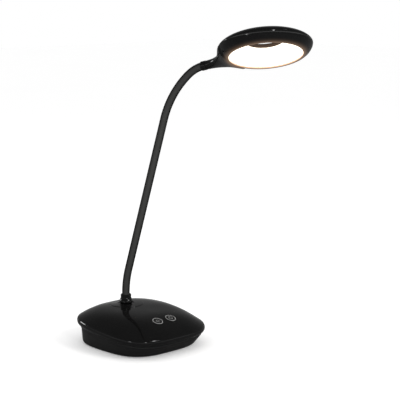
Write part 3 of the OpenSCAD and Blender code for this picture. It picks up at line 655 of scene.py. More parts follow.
def make_materials():
    """Every finish of the lamp, by a short key."""
    f = bpy.context.scene.lamp_finishes
    m = {}
    # ABS moulded in a polished tool: deep black with clear reflections that waver a little.
    polished = (f.gloss, lighter(f.gloss, 1.5), 0.09, 0.03, 2.4, 4e-6)
    m["gloss"] = moulded("moulded_gloss_abs", *polished, **{"Specular IOR Level": 0.25})
    # The same moulded ABS on the head, with the warm light that the dish spills on its edges.
    m["gloss_by_light"] = moulded(
        "moulded_gloss_abs_by_light", *polished, spill=True, **{"Specular IOR Level": 0.25}
    )
    # ABS from a spark-eroded tool: nearly the same black, but with soft, spread reflections.
    m["satin"] = moulded(
        "spark_eroded_abs", f.satin, lighter(f.satin, 1.35), 0.42, 0.06, 0.45, 1.2e-5, **{"Specular IOR Level": 0.25}
    )
    # Silicone tube: dark grey and dull, with painted shade that darkens its sides where they turn away from view.
    m["silicone"] = moulded(
        "silicone_rubber", f.silicone, lighter(f.silicone, 1.2), 0.8, 0.05, 0.6, 1.5e-5, patch_mm=9, painted_edge_shade=1.0,
        **{"Specular IOR Level": 0.03},
    )
    # Foam-backed rubber sheet: flat black that gives no highlight.
    m["pad"] = moulded("non_slip_rubber", f.pad, lighter(f.pad, 1.4), 0.85, 0.05, 0.8, 4e-5)
    # Zinc-plated steel: cool grey with a slightly rough, bright face.
    m["zinc"] = moulded("zinc_plated_steel", srgb("#a9acae"), srgb("#c3c5c6"), 0.34, 0.08, 0.5, 1e-5, Metallic=1.0)
    # Drawn spring wire: darker steel with fine drawing lines.
    m["wire"] = moulded("drawn_spring_steel", srgb("#85878a"), srgb("#9c9ea0"), 0.3, 0.06, 0.25, 8e-6, Metallic=1.0)
    # Black-oxided steel: nearly black with a dim metal shine.
    m["oxide"] = moulded("black_oxide_steel", srgb("#2a2a2c"), srgb("#3a3a3c"), 0.4, 0.08, 0.4, 8e-6, Metallic=1.0)
    # Turned aluminium: pale metal with faint tool marks.
    pale = srgb("#c4c6c8"), srgb("#d6d7d8")
    m["aluminium"] = moulded("turned_aluminium", *pale, 0.28, 0.05, 0.3, 8e-6, Metallic=1.0)
    # Gold-plated spring wire: warm bright metal.
    m["gold"] = moulded("gold_plated_wire", srgb("#d8b25a"), srgb("#e6c777"), 0.22, 0.05, 0.3, 6e-6, Metallic=1.0)
    # Glass-epoxy board under green solder mask: glossy green with weave below.
    m["board"] = moulded("solder_masked_board", srgb("#14502c"), srgb("#1c6438"), 0.3, 0.06, 0.5, 8e-6)
    # Shrink film on the cell: smooth blue film.
    m["film"] = moulded("shrink_film", srgb("#1f4f86"), srgb("#2a62a0"), 0.25, 0.06, 1.2, 8e-6)
    # Soft PVC jacket of the lead: dull white.
    m["jacket"] = moulded("soft_pvc_jacket", srgb("#cfcfca"), srgb("#dededa"), 0.5, 0.05, 0.8, 1e-5)
    # White solder mask on the light strip: bright and flat.
    m["strip"] = moulded("white_solder_mask", srgb("#e4e4df"), srgb("#efefeb"), 0.4, 0.05, 0.6, 8e-6)
    # Phosphor gel over the diodes: saturated yellow and wet-looking.
    m["phosphor"] = moulded("phosphor_gel", srgb("#e8c354"), srgb("#f2d273"), 0.2, 0.04, 0.5, 6e-6)
    # Pad-printed ink: thin pale grey film, duller than the gloss below it.
    m["ink"] = moulded("pad_print_ink", f.mark, lighter(f.mark, 0.8), 0.45, 0.05, 0.3, 3e-6, patch_mm=2)
    m["dish"] = lit_acrylic(f)
    return m


def lit_acrylic(f):
    """Opal acrylic lit from behind: even warm light, with hardly visible clouds in the white below it."""
    material, tree = new_material("opal_acrylic_lit")
    place = add(tree, "TexCoord").outputs["Object"]
    cloud = add(tree, "TexNoise", {"Vector": place, "Scale": 1000 / 25, "Detail": 2.0}).outputs["Fac"]
    tints = {"A": (*srgb("#fbf3e4"), 1), "B": (*srgb("#fff9ee"), 1)}
    tone = add(tree, "Mix", {"Factor": cloud, **tints}, data_type="RGBA")
    grain = add(tree, "TexNoise", {"Vector": place, "Scale": 1000 / 0.625})
    bump = add(tree, "Bump", {"Height": grain.outputs["Fac"], "Distance": 6e-6, "Strength": 1.0})
    shader = {
        "Base Color": tone.outputs["Result"],
        "Roughness": 0.35,
        "Normal": bump.outputs["Normal"],
        "Emission Color": (*f.light, 1),
        "Emission Strength": f.glow,
    }
    finish_material(tree, add(tree, "BsdfPrincipled", shader))
    return material


# Filled by the finishes operator, which runs before the pieces are built.
MATERIALS = {}


def dress(obj, key):
    """Gives a piece its material."""
    obj.data.materials.clear()
    obj.data.materials.append(MATERIALS[key])


# ---- Operators: one for each piece or group of like pieces ----


class LAMP_OT_finishes(bpy.types.Operator):
    """Make the finishes and give each CAD node that stays in view its own"""

    bl_idname = "lamp.finishes"
    bl_label = "Finishes"

    NODES = {
        "pad": ("foot_pad",),
        "zinc": (
            "ballast_plate", "ballast_screws", "housing_screws", "control_board_screws", "charge_board_screws",
            "charging_inlet", "lock_washer", "arm_nut",
        ),
        "board": ("control_board", "charge_board"),
        "gold": ("touch_springs",),
        "film": ("battery_cell",),
        "satin": ("battery_cradle",),
        "aluminium": ("lower_ferrule", "upper_ferrule", "heat_ring"),
        "oxide": ("ferrule_grub_screw",),
        "strip": ("led_strip",),
        "phosphor": ("led_chips",),
        "wire": tuple(f"core_{k:02d}" for k in range(1, JOINTS + 2)),
    }

    def execute(self, context):
        MATERIALS.update(make_materials())
        for key, nodes in self.NODES.items():
            for node in nodes:
                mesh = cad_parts[node].data
                mesh.materials.clear()
                mesh.materials.append(MATERIALS[key])
        return {"FINISHED"}


class LAMP_OT_base_shell(bpy.types.Operator):
    """Build the pillow-shaped top of the base, with the low disc and the collar's seat"""

    bl_idname = "lamp.base_shell"
    bl_label = "Base top shell"

    RAYS = 360
    # Radius of the arm's bore, and where the crown's own skin starts past the low disc.
    BORE = 0.0041
    PAST_DISC = 0.0003
    # Rounded step of the low disc: distance back from its radius, and share of its rise.
    DISC_EDGE = ((0.0004, 1.0), (0.0002, 0.93), (0.00008, 0.7), (0.0, 0.3), (-0.00008, 0.0))

    def edge_distance(self, centre, way):
        """Distance from a point to the edge line in each direction, by halving."""
        near, far = np.zeros(self.RAYS), np.full(self.RAYS, 0.2)
        for _ in range(50):
            mid = (near + far) / 2
            p = centre + way * mid[:, None]
            outside = reach(p[:, 0], p[:, 1]) > 1
            far, near = np.where(outside, mid, far), np.where(outside, near, mid)
        return near

    def crown_rings(self):
        """Rings from the collar's seat out to the edge line."""
        base, arm = sizes()[:2]
        centre = np.array([0, arm.foot_back])
        turns = np.linspace(0, 2 * math.pi, self.RAYS, endpoint=False)
        way = np.stack([np.cos(turns), np.sin(turns)], axis=1)
        edge = self.edge_distance(centre, way)
        seat = crown_height(0, arm.foot_back + base.seat_radius) + 0.0001
        rings = []

        def ring(radius, lift, level=None):
            """Ring at a height above the crown, or at a level of its own."""
            p = centre + way * np.broadcast_to(radius, self.RAYS)[:, None]
            z = skin_height(p[:, 0], p[:, 1]) + lift if level is None else np.full(self.RAYS, level)
            rings.append(np.column_stack([p, z]))

        r_seat, r_disc, rise = base.seat_radius, base.disc_radius, base.disc_rise
        ring(self.BORE, 0, seat)
        ring(r_seat - 0.0002, 0, seat)
        ring(r_seat, 0, seat + 0.00005)
        ring(r_seat + 0.00005, rise - 0.0001)
        ring(r_seat + 0.0002, rise)
        for t in np.linspace(0.03, 0.97, 12):
            ring(r_seat + (r_disc - 0.0004 - r_seat) * t, rise)
        for back, share in self.DISC_EDGE:
            ring(r_disc - back, rise * share)
        start = r_disc + self.PAST_DISC
        # Rings lie closer together toward the edge, where the crown turns down.
        for t in 1 - (1 - np.linspace(0.0, 1.0, 56)[1:]) ** 1.6:
            ring(start + (edge - start) * t, 0)
        return rings

    def execute(self, context):
        base = sizes()[0]
        rings = self.crown_rings()
        x, y = rings[-1][:, 0], rings[-1][:, 1]
        turns = np.arctan2(y / (base.depth / 2 - base.bulge), x / (base.width / 2 - base.bulge))
        b, h, tuck = base.bulge, base.skirt, base.tuck
        side = [(b, 0), (b * 0.25, -h * 0.18), (0, -h * 0.4), (tuck * 0.1, -h * 0.64), (tuck * 0.45, -h * 0.86)]
        drop = curve_through(side + [(tuck, -h)], 5)[1:]
        # Lower edge of the skirt, and a little of its inner face.
        drop += [(tuck + inset, rise - h) for inset, rise in ((0.0003, -0.00006), (0.0012, -0.00006))]
        drop += [(tuck + 0.0014, rise - h) for rise in (0.0002, 0.003)]
        rings += [rim_ring(turns, inset, dz) for inset, dz in drop]
        obj = skin("base_top_shell_skin", swollen(rings), sharp=45)
        dress(obj, "gloss")
        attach(obj, "base")
        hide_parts("base_top_shell")
        return {"FINISHED"}


class LAMP_OT_base_tray(bpy.types.Operator):
    """Build the tray of the base, with its step under the skirt and the opening of the charging socket"""

    bl_idname = "lamp.base_tray"
    bl_label = "Base tray"

    # Step under the skirt: its depth and height, and the air above it. How far the tray sets in from the skirt's
    # lower edge, how far it comes down beside the foot pad, and the rounding of the socket's corners.
    STEP_IN = 0.0007
    STEP_HEIGHT = 0.0028
    AIR = 0.0003
    INSIDE_SKIRT = 0.0002
    UNDER_PAD = 0.0006
    SOCKET_CORNER = 0.0016

    def side_rings(self):
        """Rings from the foot up to the step and over it into the skirt."""
        base = sizes()[0]
        turns = np.linspace(0, 2 * math.pi, 288, endpoint=False)
        hw, hl, slope = base.width / 2, base.depth / 2, math.tan(base.wedge)
        inset0, stepped = base.tuck + self.INSIDE_SKIRT, base.tuck + self.INSIDE_SKIRT + self.STEP_IN
        foot = base.pad - self.UNDER_PAD
        step_z = base.rim_height - base.skirt - self.AIR - self.STEP_HEIGHT - 0.0004

        def tray_ring(share, inset, z):
            """Ring at a share of the way up, where the draft and the slope grow from the foot."""
            return outline(
                turns,
                hw - inset0 - base.draft * (1 - share) - inset,
                -(hl - inset0 - base.front_draft * (1 - share) - inset),
                hl - inset0 - 0.0005 * (1 - share) - inset,
                z,
                slope * share,
            )

        low = tray_ring(0.12, 0, foot + 0.003)
        high = outline(turns, hw - stepped, stepped - hl, hl - stepped, step_z, slope)
        rounding = ((0, 0.0026, 0), (0, 0.0016, 0.00012), (0, 0.0009, 0.0007), (0.05, 0.0003, 0.0016))
        rings = [tray_ring(share, inset, foot + rise) for share, inset, rise in rounding] + [low]
        rings += [low * (1 - t) + high * t for t in np.linspace(0, 1, 12)[1:]]
        # Rounded edge of the step, its ledge and the wall behind it: inset, and height above the edge line.
        top = -base.skirt - self.AIR
        ledge = top - self.STEP_HEIGHT
        rings += [
            rim_ring(turns, inset, dz)
            for inset, dz in (
                (stepped + 0.00015, ledge - 0.00022),
                (stepped + 0.0004, ledge - 0.0001),
                (stepped + 0.0005, ledge + 0.0001),
                (inset0 + 0.0003, ledge + 0.00025),
                (inset0 + 0.0001, ledge + 0.0004),
                (inset0, ledge + 0.0007),
                (inset0, top - 0.0004),
                (inset0 + 0.0001, top - 0.0001),
                (inset0 + 0.0004, top),
                (inset0 + 0.0016, top),
                (inset0 + 0.0016, -base.skirt + 0.0025),
            )
        ]
        return rings

    def execute(self, context):
        obj = skin("base_tray_skin", swollen(self.side_rings()), caps=(True, True), sharp=45)
        # Opening of the charging socket, cut through the back wall.
        low, high = (Vector(corner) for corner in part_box("charging_inlet"))
        left, right = low.x - self.AIR, high.x + self.AIR
        under, over = low.z - self.AIR, high.z + self.AIR
        corners = rounded([(left, under), (right, under), (right, over), (left, over)], self.SOCKET_CORNER, 6)
        rings = [[(x, y, z) for x, z in corners] for y in (high.y + 0.01, low.y - 0.001)]
        cut_away(obj, skin("socket_cutter", rings, caps=(True, True)))
        dress(obj, "satin")
        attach(obj, "base")
        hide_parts("base_tray")
        return {"FINISHED"}


# Printed rings and signs of the keys: radius, line widths and height of the ink above the crown.
KEY_RING = 0.0062
LINE = 0.00038
THIN = LINE * 0.32
INK = 0.00004
# Rings are drawn to this share of their width from front to back, as the crown slopes there.
SHORTER = 0.9
# Signs: the sun's disc and the start and end of its rays, the power sign's arc and the start and end of its bar.
SUN_DISC, SUN_RAY_IN, SUN_RAY_OUT = 0.0017, 0.0027, 0.0034
POWER_ARC, POWER_BAR_IN, POWER_BAR_OUT = 0.0024, 0.0008, 0.0034


def arc(r, a0, a1, w, n=40):
    """Points and half width of an arc between two angles in degrees."""
    turns = [math.radians(a0 + (a1 - a0) * i / n) for i in range(n + 1)]
    return [(r * math.cos(a), r * math.sin(a), w) for a in turns]


def circle(r, w, n=72):
    """Points and half width of a closed ring."""
    turns = [2 * math.pi * i / n for i in range(n)]
    return [(r * math.cos(a), SHORTER * r * math.sin(a), w) for a in turns]


def bar(x0, y0, x1, y1, w, n=6):
    """Points and half width of a straight stroke."""
    return [(x0 + (x1 - x0) * i / n, y0 + (y1 - y0) * i / n, w) for i in range(n + 1)]


def ink_print(name, strokes, cx, cy):
    """Flat bands along strokes of points with half widths, each closed or open, laid on the crown."""
    points, faces = [], []
    for stroke, closed in strokes:
        n, start = len(stroke), len(points)
        for i, (x, y, w) in enumerate(stroke):
            before = stroke[i - 1] if closed or i else stroke[0]
            after = stroke[(i + 1) % n] if closed or i < n - 1 else stroke[-1]
            dx, dy = after[0] - before[0], after[1] - before[1]
            size = math.hypot(dx, dy)
            nx, ny = -dy / size * w, dx / size * w
            for side in (-1, 1):
                px, py = cx + x + side * nx, cy + y + side * ny
                points.append((px, py, float(skin_height(px, py)) + INK))
        for i in range(n if closed else n - 1):
            a, b = start + 2 * i, start + 2 * ((i + 1) % n)
            faces.append((a, b, b + 1, a + 1))
    return piece(name, swollen([points])[0], faces, sharp=60)


def sun_sign():
    """Brightness: a small disc's outline and eight rays."""
    strokes = [(circle(SUN_DISC, THIN), True)]
    for k in range(8):
        c, s = math.cos(math.radians(45 * k)), math.sin(math.radians(45 * k))
        ray = bar(SUN_RAY_IN * c, SUN_RAY_IN * s, SUN_RAY_OUT * c, SUN_RAY_OUT * s, THIN * 0.8)
        strokes.append((ray, False))
    return strokes


def power_sign():
    """Power: an open arc with a bar in its gap."""
    return [(arc(POWER_ARC, 125, 415, THIN), False), (bar(0, POWER_BAR_IN, 0, POWER_BAR_OUT, LINE / 2), False)]


class LAMP_OT_key_marks(bpy.types.Operator):
    """Print the two touch keys' rings and signs on the crown"""

    bl_idname = "lamp.key_marks"
    bl_label = "Touch key marks"

    def execute(self, context):
        base = sizes()[0]
        keys = (("brightness_key_print", sun_sign(), -1), ("power_key_print", power_sign(), 1))
        for name, sign, side in keys:
            strokes = [(circle(KEY_RING, LINE / 2), True)] + sign
            obj = ink_print(name, strokes, side * base.key_spacing / 2, -base.key_front)
            dress(obj, "ink")
            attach(obj, "base")
        return {"FINISHED"}


class LAMP_OT_arm_collar(bpy.types.Operator):
    """Turn the collar at the arm's foot"""

    bl_idname = "lamp.arm_collar"
    bl_label = "Arm collar"

    def execute(self, context):
        arm = sizes()[1]
        low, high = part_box("arm_collar")
        z, h = low[2], high[2] - low[2]
        # Waist at the foot, swell in the middle and neck at the top, with the stop that the sleeve stands on.
        swell = [(0.0066, 0.0), (0.0076, 0.0009), (0.0082, 0.0022), (0.0083, 0.0034)]
        swell += [(0.0080, 0.0046), (0.0072, 0.0062), (0.0068, 0.0074)]
        swell = [tuple(p) for p in curve_through(swell, 6)]
        neck = [(0.0066, 0.0079), (0.0066, h), (0.0048, h), (0.0048, h - 0.004), (0.0046, h - 0.004), (0.0046, 0)]
        profile = rounded(swell + neck, 0.00055, 5)
        obj = revolve("arm_collar_turned", profile, Matrix.Translation((0, arm.foot_back, z)), sides=128, sharp=35)
        dress(obj, "gloss")
        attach(obj, "base")
        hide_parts("arm_collar")
        return {"FINISHED"}


class LAMP_OT_sleeve(bpy.types.Operator):
    """Build the soft sleeve and the lead inside it, each as one piece for every joint of the arm"""

    bl_idname = "lamp.sleeve"
    bl_label = "Arm sleeve and lead"

    def execute(self, context):
        arm = sizes()[1]
        path = ArmPath()
        for k in range(1, JOINTS + 1):
            s0 = path.sleeve[0] if k == 1 else path.middle(k)
            s1 = path.sleeve[1] if k == JOINTS else path.middle(k + 1)
            start, end = path.at(path.middle(k))[0], path.at(path.middle(k + 1))[0]
            sleeve = tube(f"sleeve_{k:02d}", path, s0, s1, arm.sleeve_radius, 64, 0.0012)
            dress(sleeve, "silicone")
            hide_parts("arm_sleeve")
            lead = tube(f"lead_{k:02d}", path, s0, s1, arm.lead_radius, 12, 0.002)
            dress(lead, "jacket")
            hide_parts("lamp_lead")
            for obj in (sleeve, lead):
                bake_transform(obj)
        bottom, top, end = *path.sleeve, path.starts[-1]
        low = tube("lead_in_base", path, 0.0, bottom, arm.lead_radius, 12, 0.001, caps=(True, False))
        high = tube("lead_in_head", path, top, end, arm.lead_radius, 12, 0.004, caps=(False, True))
        for obj, body in ((low, "base"), (high, "head")):
            dress(obj, "jacket")
            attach(obj, body)
            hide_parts("lamp_lead")
        return {"FINISHED"}


def polygon_distance(r, u, poly):
    """Distance from points (r, u) to a closed outline, below zero inside it."""
    best = np.full(r.shape, 1e9)
    sign = np.ones(r.shape)
    for (ax, ay), (bx, by) in zip(poly, np.roll(poly, -1, axis=0)):
        ex, ey, wx, wy = bx - ax, by - ay, r - ax, u - ay
        t = np.clip((wx * ex + wy * ey) / (ex * ex + ey * ey + 1e-12), 0, 1)
        best = np.minimum(best, (wx - t * ex) ** 2 + (wy - t * ey) ** 2)
        above, below, side = u >= ay, u < by, ex * wy > ey * wx
        flip = (above & below & side) | (~above & ~below & ~side)
        sign = np.where(flip, -sign, sign)
    return sign * np.sqrt(best)


def bore_cutter(name, matrix, steps):
    """Cutter turned from the steps (radius, start, end) of a bore, in millimetres."""
    points = [(0.01, steps[0][1])]
    for radius, start, end in steps:
        points += [(radius, start), (radius, end)]
    points.append((0.01, steps[-1][2]))
    return revolve(name, [(r * 0.001, u * 0.001) for r, u in points], matrix, sides=48)


class LAMP_OT_head_housing(bpy.types.Operator):
    """Build the lower housing of the head: the ring's belly, flowing into the stem"""

    bl_idname = "lamp.head_housing"
    bl_label = "Head housing"

    # All in millimetres. The ring: its wall, the height of the dish's ledge above the opening, and the lip's width.
    WALL = 2.0
    LEDGE = 2.0
    LIP = 1.1
    # The stem: how far it widens toward the ring, and how softly the two flow together.
    WIDENING = 25
    FLOW = 5.0
    # Rounded edge of the opening: distance outside its radius, and height above the lip.
    OPENING_EDGE = ((0.5, -0.06), (0.3, 0.02), (0.1, 0.16), (0, 0.45))
    # Bores in the stem, as radius and end: the ferrule's, and the lead's behind it. They start past the arm's end.
    BORE_START = 2.0
    FERRULE_BORE = (4.05, 13.3)
    LEAD_BORE = (1.8, 40)
    # Grub screw's cross bore: radius, and distance past the arm's end.
    SCREW_BORE, SCREW_PLACE = 1.55, 9

    def execute(self, context):
        head = sizes()[2]
        mm = 0.001
        reach_z, drop, opening, radius = head.reach / mm, head.drop / mm, head.opening / mm, head.radius / mm
        parting, stem_d = head.parting / mm, head.stem / mm
        stem_start, low_lip = STEM_START / mm, LIP_LOW / mm
        stem_end = reach_z - opening - self.LIP / 2
        # Section of the ring, closed above the parting line, where the cutter takes the rest away.
        belly = quarter(opening + self.LIP, radius, parting, low_lip, 1.6, 40)[::-1]
        outer = np.array([(0.0, low_lip)] + belly + [(radius, parting + 6), (0.0, parting + 6)])

        def field(points):
            """Distance to the ring and the stem, flowing into each other, cut flat at the stem's start."""
            x, y, z = (points / mm).T
            ring = polygon_distance(np.hypot(x, z - reach_z), y + drop, outer)
            t = np.clip((z - stem_start) / (stem_end - stem_start), 0, 1)
            # Section of the stem: it widens, rises to the parting line, sinks to the opening and gets squarer.
            half = stem_d / 2 + self.WIDENING * t**1.9
            low = stem_d / 2 - (stem_d / 2 - drop) * ease(t)
            high = stem_d / 2 + (parting - drop - 0.1 - stem_d / 2) * ease(2 * t)
            mid, tall = (high - low) / 2, (high + low) / 2
            power = 2 + 0.6 * t
            share = ((np.abs(x) / half) ** power + (np.abs(y - mid) / tall) ** power + 1e-12) ** (1 / power)
            stem = np.maximum((share - 1) * np.minimum(half, tall), z - stem_end)
            h = np.maximum(self.FLOW - np.abs(ring - stem), 0) / self.FLOW
            solid = np.minimum(ring, stem) - h * h * self.FLOW / 4
            return np.maximum(solid, stem_start - z) * mm

        step = 0.0007
        low = (-(radius + 2) * mm, -(drop + 2) * mm, (stem_start - 1.5) * mm)
        high = ((radius + 2) * mm, (parting - drop + 3) * mm, (reach_z + radius + 2) * mm)
        obj = net("head_housing_skin", field, low, high, step, head_matrix())
        # Hollow of the ring with the rounded edge of the light opening, and all above the parting line.
        top, inner, ledge_r = parting - 0.12, radius - self.WALL, opening + SHELF / mm
        hollow = [(0, -9), (opening + 9, -9)]
        hollow += [(opening + back, low_lip + rise) for back, rise in self.OPENING_EDGE]
        hollow += [(opening, self.LEDGE), (ledge_r, self.LEDGE)]
        hollow += quarter(ledge_r, inner, parting - 1.8, self.LEDGE, 1.25, 24)[::-1][1:]
        hollow += [(inner, top), (radius + 40, top), (radius + 40, top + 30), (0, top + 30)]
        profile = [(max(r, 0.01) * mm, u * mm) for r, u in hollow]
        cut_away(obj, revolve("hollow_cutter", profile, ring_matrix(), sides=224))
        (ferrule_r, ferrule_end), (lead_r, lead_end) = self.FERRULE_BORE, self.LEAD_BORE
        steps = [(ferrule_r, self.BORE_START, ferrule_end), (lead_r, ferrule_end, lead_end)]
        cut_away(obj, bore_cutter("bore_cutter", head_matrix(), steps))
        place = Matrix.Translation((0, 0, self.SCREW_PLACE * mm)) @ Matrix.Rotation(math.pi / 2, 4, "X")
        cut_away(obj, bore_cutter("screw_cutter", head_matrix() @ place, [(self.SCREW_BORE, 0, stem_d)]))
        dress(obj, "gloss_by_light")
        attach(obj, "head")
        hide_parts("head_housing")
        return {"FINISHED"}


class LAMP_OT_head_cover(bpy.types.Operator):
    """Turn the crowned cover of the head, with its hole and the thin shut line under it"""

    bl_idname = "lamp.head_cover"
    bl_label = "Head cover"

    def execute(self, context):
        head = sizes()[2]
        r, hole, u0 = head.radius, head.hole, head.parting
        top = u0 + head.crown
        dish_top = top - DISH_BELOW_CROWN
        # Thin shut line over the housing, crown, rounded edge of the hole, and the shell's inner side.
        outer = [(r - 0.0006, u0 + 0.0001), (r - 0.00022, u0 + 0.00012), (r - 0.00003, u0 + 0.0004)]
        crown = [p for p in quarter(hole + 0.0005, r, u0, top, 1.7, 64) if p[1] > u0 + 0.0005]
        edge = [(hole + 0.0003, top - 0.00004), (hole + 0.0001, top - 0.00016), (hole, top - 0.0004)]
        inner = [(hole, dish_top + 0.00005), (hole + 0.0018, dish_top + 0.00005)]
        under = quarter(hole + 0.0018, r - 0.0027, u0, top - 0.002, 1.7, 24)[::-1]
        profile = outer + crown + edge + inner + under[1:] + [(r - 0.0027, u0 + 0.0001)]
        obj = revolve("head_cover_skin", profile, ring_matrix(), sides=224, sharp=45)
        dress(obj, "gloss_by_light")
        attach(obj, "head")
        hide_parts("head_cover")
        return {"FINISHED"}


class LAMP_OT_light_dish(bpy.types.Operator):
    """Turn the lit dish that fills the ring"""

    bl_idname = "lamp.light_dish"
    bl_label = "Light dish"

    def execute(self, context):
        head = sizes()[2]
        low, flange = 0.0014, head.opening + SHELF - 0.0003
        r0, r1 = head.hole + 0.0002, head.opening - 0.0001
        top = head.parting + head.crown - DISH_BELOW_CROWN
        # Bowl that is seen from below, its upper side, and the flange that lies on the housing's ledge.
        seen = quarter(r0, r1, low, top - 0.0012, 2.2, 56)
        behind = quarter(r0 + 0.003, r1 + 0.0014, 0.0032, top, 2.2, 32)[::-1]
        ledge = [(flange, 0.0032), (flange, 0.0021), (r1, 0.0021)]
        profile = [(r1, low - 0.00005)] + seen + [(r0, top)] + behind + ledge
        obj = revolve("light_dish_skin", profile, ring_matrix(), sides=224, sharp=45)
        dress(obj, "dish")
        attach(obj, "head")
        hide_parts("diffuser")
        return {"FINISHED"}


class LAMP_OT_head_collar(bpy.types.Operator):
    """Turn the narrow ring between the sleeve and the stem"""

    bl_idname = "lamp.head_collar"
    bl_label = "Head collar"

    def execute(self, context):
        low, high, bore, outer = -STEM_START, STEM_START - SLIP, 0.0049, 0.0056
        profile = rounded([(bore, low), (outer, low), (outer, high), (bore, high)], 0.0005, 5)
        obj = revolve("head_collar_turned", profile, head_matrix(), sides=96)
        dress(obj, "gloss")
        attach(obj, "head")
        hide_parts("head_collar")
        return {"FINISHED"}


# ---- Stage ----

# Level of the surrounding white, what the floor adds of its own where it is seen, and half the floor's width.
STUDIO_LEVEL = 0.9
FLOOR_LIFT = 0.14
FLOOR_HALF = 6
# What polished faces show around them, each as rise of the way from and to, and strength there: a bright band at
# the horizon and a dim room above it. The band fades away from the front, by how much a way points to it.
BAND = (0.015, 0.09, 2.0, 0.0)
ROOM = (0.05, 0.75, 0.28, 0.12)
FRONT = (-0.656, -0.755, 0)
FRONT_FADE = (-0.2, 0.25, 0.1, 1.0)
# Each lamp: name, direction and height in degrees, distance, width, depth, power, and what it is aimed at.
LAMPS = (
    ("softbox_high", -73, 38, 1.6, 0.50, 0.16, 5.0, (0, 0, 0.05)),
    ("softbox_behind", 112, 15, 1.6, 0.46, 0.18, 2.8, (0, 0, 0.04)),
    ("softbox_front", -111, 25, 1.6, 0.12, 0.2, 2.0, (0, 0, 0.05)),
    ("softbox_left", -176, -6, 1.3, 0.12, 0.12, 0.8, (0.02, -0.16, 0.38)),
)
# Camera: lens and sensor in millimetres, place, and its turns about X and Z in degrees.
LENS, SENSOR = 115.2, 36
CAMERA_PLACE = (-1.01480, -1.15552, 0.44155)
CAMERA_TURNS = (90 - 9.683, -44.0137)


def floor_paint(pale):
    """Painted board with faint clouds: white where it is lit, grey where the lamp shades it."""
    material, tree = new_material("painted_board_floor")
    place = add(tree, "TexCoord").outputs["Object"]
    # Clouds a third of a metre wide.
    cloud = add(tree, "TexNoise", {"Vector": place, "Scale": 3.0, "Detail": 2.0}).outputs["Fac"]
    tone = add(tree, "Mix", {"Factor": cloud, "A": (*pale, 1), "B": (*srgb("#f8f8f8"), 1)}, data_type="RGBA")
    # In polished faces it shows darker, as the lit part of the sweep is small.
    rays = add(tree, "LightPath").outputs
    seen = {"Factor": rays["Is Glossy Ray"], "A": tone.outputs["Result"], "B": (*srgb("#808080"), 1)}
    paint = add(tree, "BsdfDiffuse", {"Color": add(tree, "Mix", seen, data_type="RGBA").outputs["Result"]})
    lift = add(tree, "Math", (rays["Is Camera Ray"], FLOOR_LIFT), operation="MULTIPLY").outputs[0]
    white = add(tree, "Emission", {"Color": (1, 1, 1, 1), "Strength": lift})
    finish_material(tree, add(tree, "AddShader", (paint.outputs[0], white.outputs[0])))
    return material


def studio_world():
    """White surroundings; in polished faces a bright band at the front horizon and a dim room above it."""
    world = bpy.data.worlds.new("studio")
    world.use_nodes = True
    tree = world.node_tree
    tree.nodes.clear()
    way = add(tree, "TexCoord").outputs["Generated"]
    up = add(tree, "SeparateXYZ", (way,)).outputs["Z"]
    sweep = add(tree, "MapRange", (up, *BAND), interpolation_type="SMOOTHSTEP")
    room = add(tree, "MapRange", (up, *ROOM))
    side = add(tree, "VectorMath", (way, FRONT), operation="DOT_PRODUCT")
    front = add(tree, "MapRange", (side.outputs["Value"], *FRONT_FADE))
    band = add(tree, "Math", (sweep.outputs["Result"], front.outputs["Result"]), operation="MULTIPLY")
    polished = add(tree, "Math", (band.outputs[0], room.outputs["Result"]), operation="ADD").outputs[0]
    rays = add(tree, "LightPath").outputs
    around = {"Factor": rays["Is Glossy Ray"], "A": STUDIO_LEVEL, "B": polished}
    around = add(tree, "Mix", around, data_type="FLOAT").outputs["Result"]
    seen = add(tree, "Math", (rays["Is Camera Ray"], rays["Is Transmission Ray"]), operation="MAXIMUM").outputs[0]
    strength = add(tree, "Mix", {"Factor": seen, "A": around, "B": 1.0}, data_type="FLOAT").outputs["Result"]
    background = add(tree, "Background", {"Color": (1, 1, 1, 1), "Strength": strength})
    add(tree, "OutputWorld", {"Surface": background.outputs[0]})
    return world


def softbox(name, azimuth, elevation, distance, width, depth, power, target):
    """Rectangular area light on a sphere around what it is aimed at."""
    data = bpy.data.lights.new(name, "AREA")
    data.shape, data.size, data.size_y, data.energy = "RECTANGLE", width, depth, power
    lamp = bpy.data.objects.new(name, data)
    a, e = math.radians(azimuth), math.radians(elevation)
    outward = Vector((math.cos(a) * math.cos(e), math.sin(a) * math.cos(e), math.sin(e)))
    lamp.location = Vector(target) + outward * distance
    lamp.rotation_euler = outward.to_track_quat("Z", "Y").to_euler()
    return lamp


def stage_camera():
    """Long lens at the front left, a little above the lamp."""
    data = bpy.data.cameras.new("camera")
    data.sensor_width = data.sensor_height = SENSOR
    data.lens = LENS
    camera = bpy.data.objects.new("camera", data)
    camera.location = CAMERA_PLACE
    camera.rotation_euler = Euler((math.radians(CAMERA_TURNS[0]), 0, math.radians(CAMERA_TURNS[1])))
    return camera


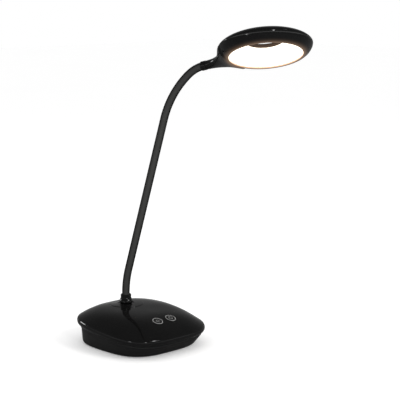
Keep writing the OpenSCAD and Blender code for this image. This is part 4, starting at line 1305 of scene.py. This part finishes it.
class LAMP_OT_stage(bpy.types.Operator):
    """Set the pale floor, the studio light and the camera"""

    bl_idname = "lamp.stage"
    bl_label = "Stage"

    def execute(self, context):
        scene = context.scene
        scene.view_settings.view_transform = "Standard"
        corners = [(x * FLOOR_HALF, y * FLOOR_HALF, 0) for x, y in ((-1, -1), (1, -1), (1, 1), (-1, 1))]
        floor = piece("floor", corners, [(0, 1, 2, 3)])
        floor.data.materials.append(floor_paint(scene.lamp_finishes.floor))
        scene.world = studio_world()
        for lamp in LAMPS:
            scene.collection.objects.link(softbox(*lamp))
        camera = stage_camera()
        scene.collection.objects.link(camera)
        scene.camera = camera
        return {"FINISHED"}


class LAMP_PT_sidebar(bpy.types.Panel):
    """Sizes, finishes and build steps of the lamp"""

    bl_idname = "LAMP_PT_sidebar"
    bl_label = "Desk lamp"
    bl_space_type = "VIEW_3D"
    bl_region_type = "UI"
    bl_category = "Desk lamp"

    def draw(self, context):
        for name in GROUPS:
            group = getattr(context.scene, name)
            column = self.layout.column(align=True)
            for key in group.__annotations__:
                column.prop(group, key)
        for step in STEPS:
            self.layout.operator(step.bl_idname)


STEPS = (
    LAMP_OT_stage,
    LAMP_OT_finishes,
    LAMP_OT_base_shell,
    LAMP_OT_base_tray,
    LAMP_OT_key_marks,
    LAMP_OT_arm_collar,
    LAMP_OT_sleeve,
    LAMP_OT_head_housing,
    LAMP_OT_head_cover,
    LAMP_OT_light_dish,
    LAMP_OT_head_collar,
)
GROUPS = {"lamp_base": BaseSizes, "lamp_arm": ArmSizes, "lamp_head": HeadSizes, "lamp_finishes": Finishes}


def register():
    for group in GROUPS.values():
        bpy.utils.register_class(group)
    for key, group in GROUPS.items():
        setattr(bpy.types.Scene, key, PointerProperty(type=group))
    for step in STEPS:
        bpy.utils.register_class(step)
    bpy.utils.register_class(LAMP_PT_sidebar)


def unregister():
    bpy.utils.unregister_class(LAMP_PT_sidebar)
    for step in reversed(STEPS):
        bpy.utils.unregister_class(step)
    for key, group in GROUPS.items():
        delattr(bpy.types.Scene, key)
        bpy.utils.unregister_class(group)


def main():
    register()
    for step in STEPS:
        group, name = step.bl_idname.split(".")
        getattr(getattr(bpy.ops, group), name)()
    bpy.context.view_layer.update()


if __name__ == "__main__":
    main()
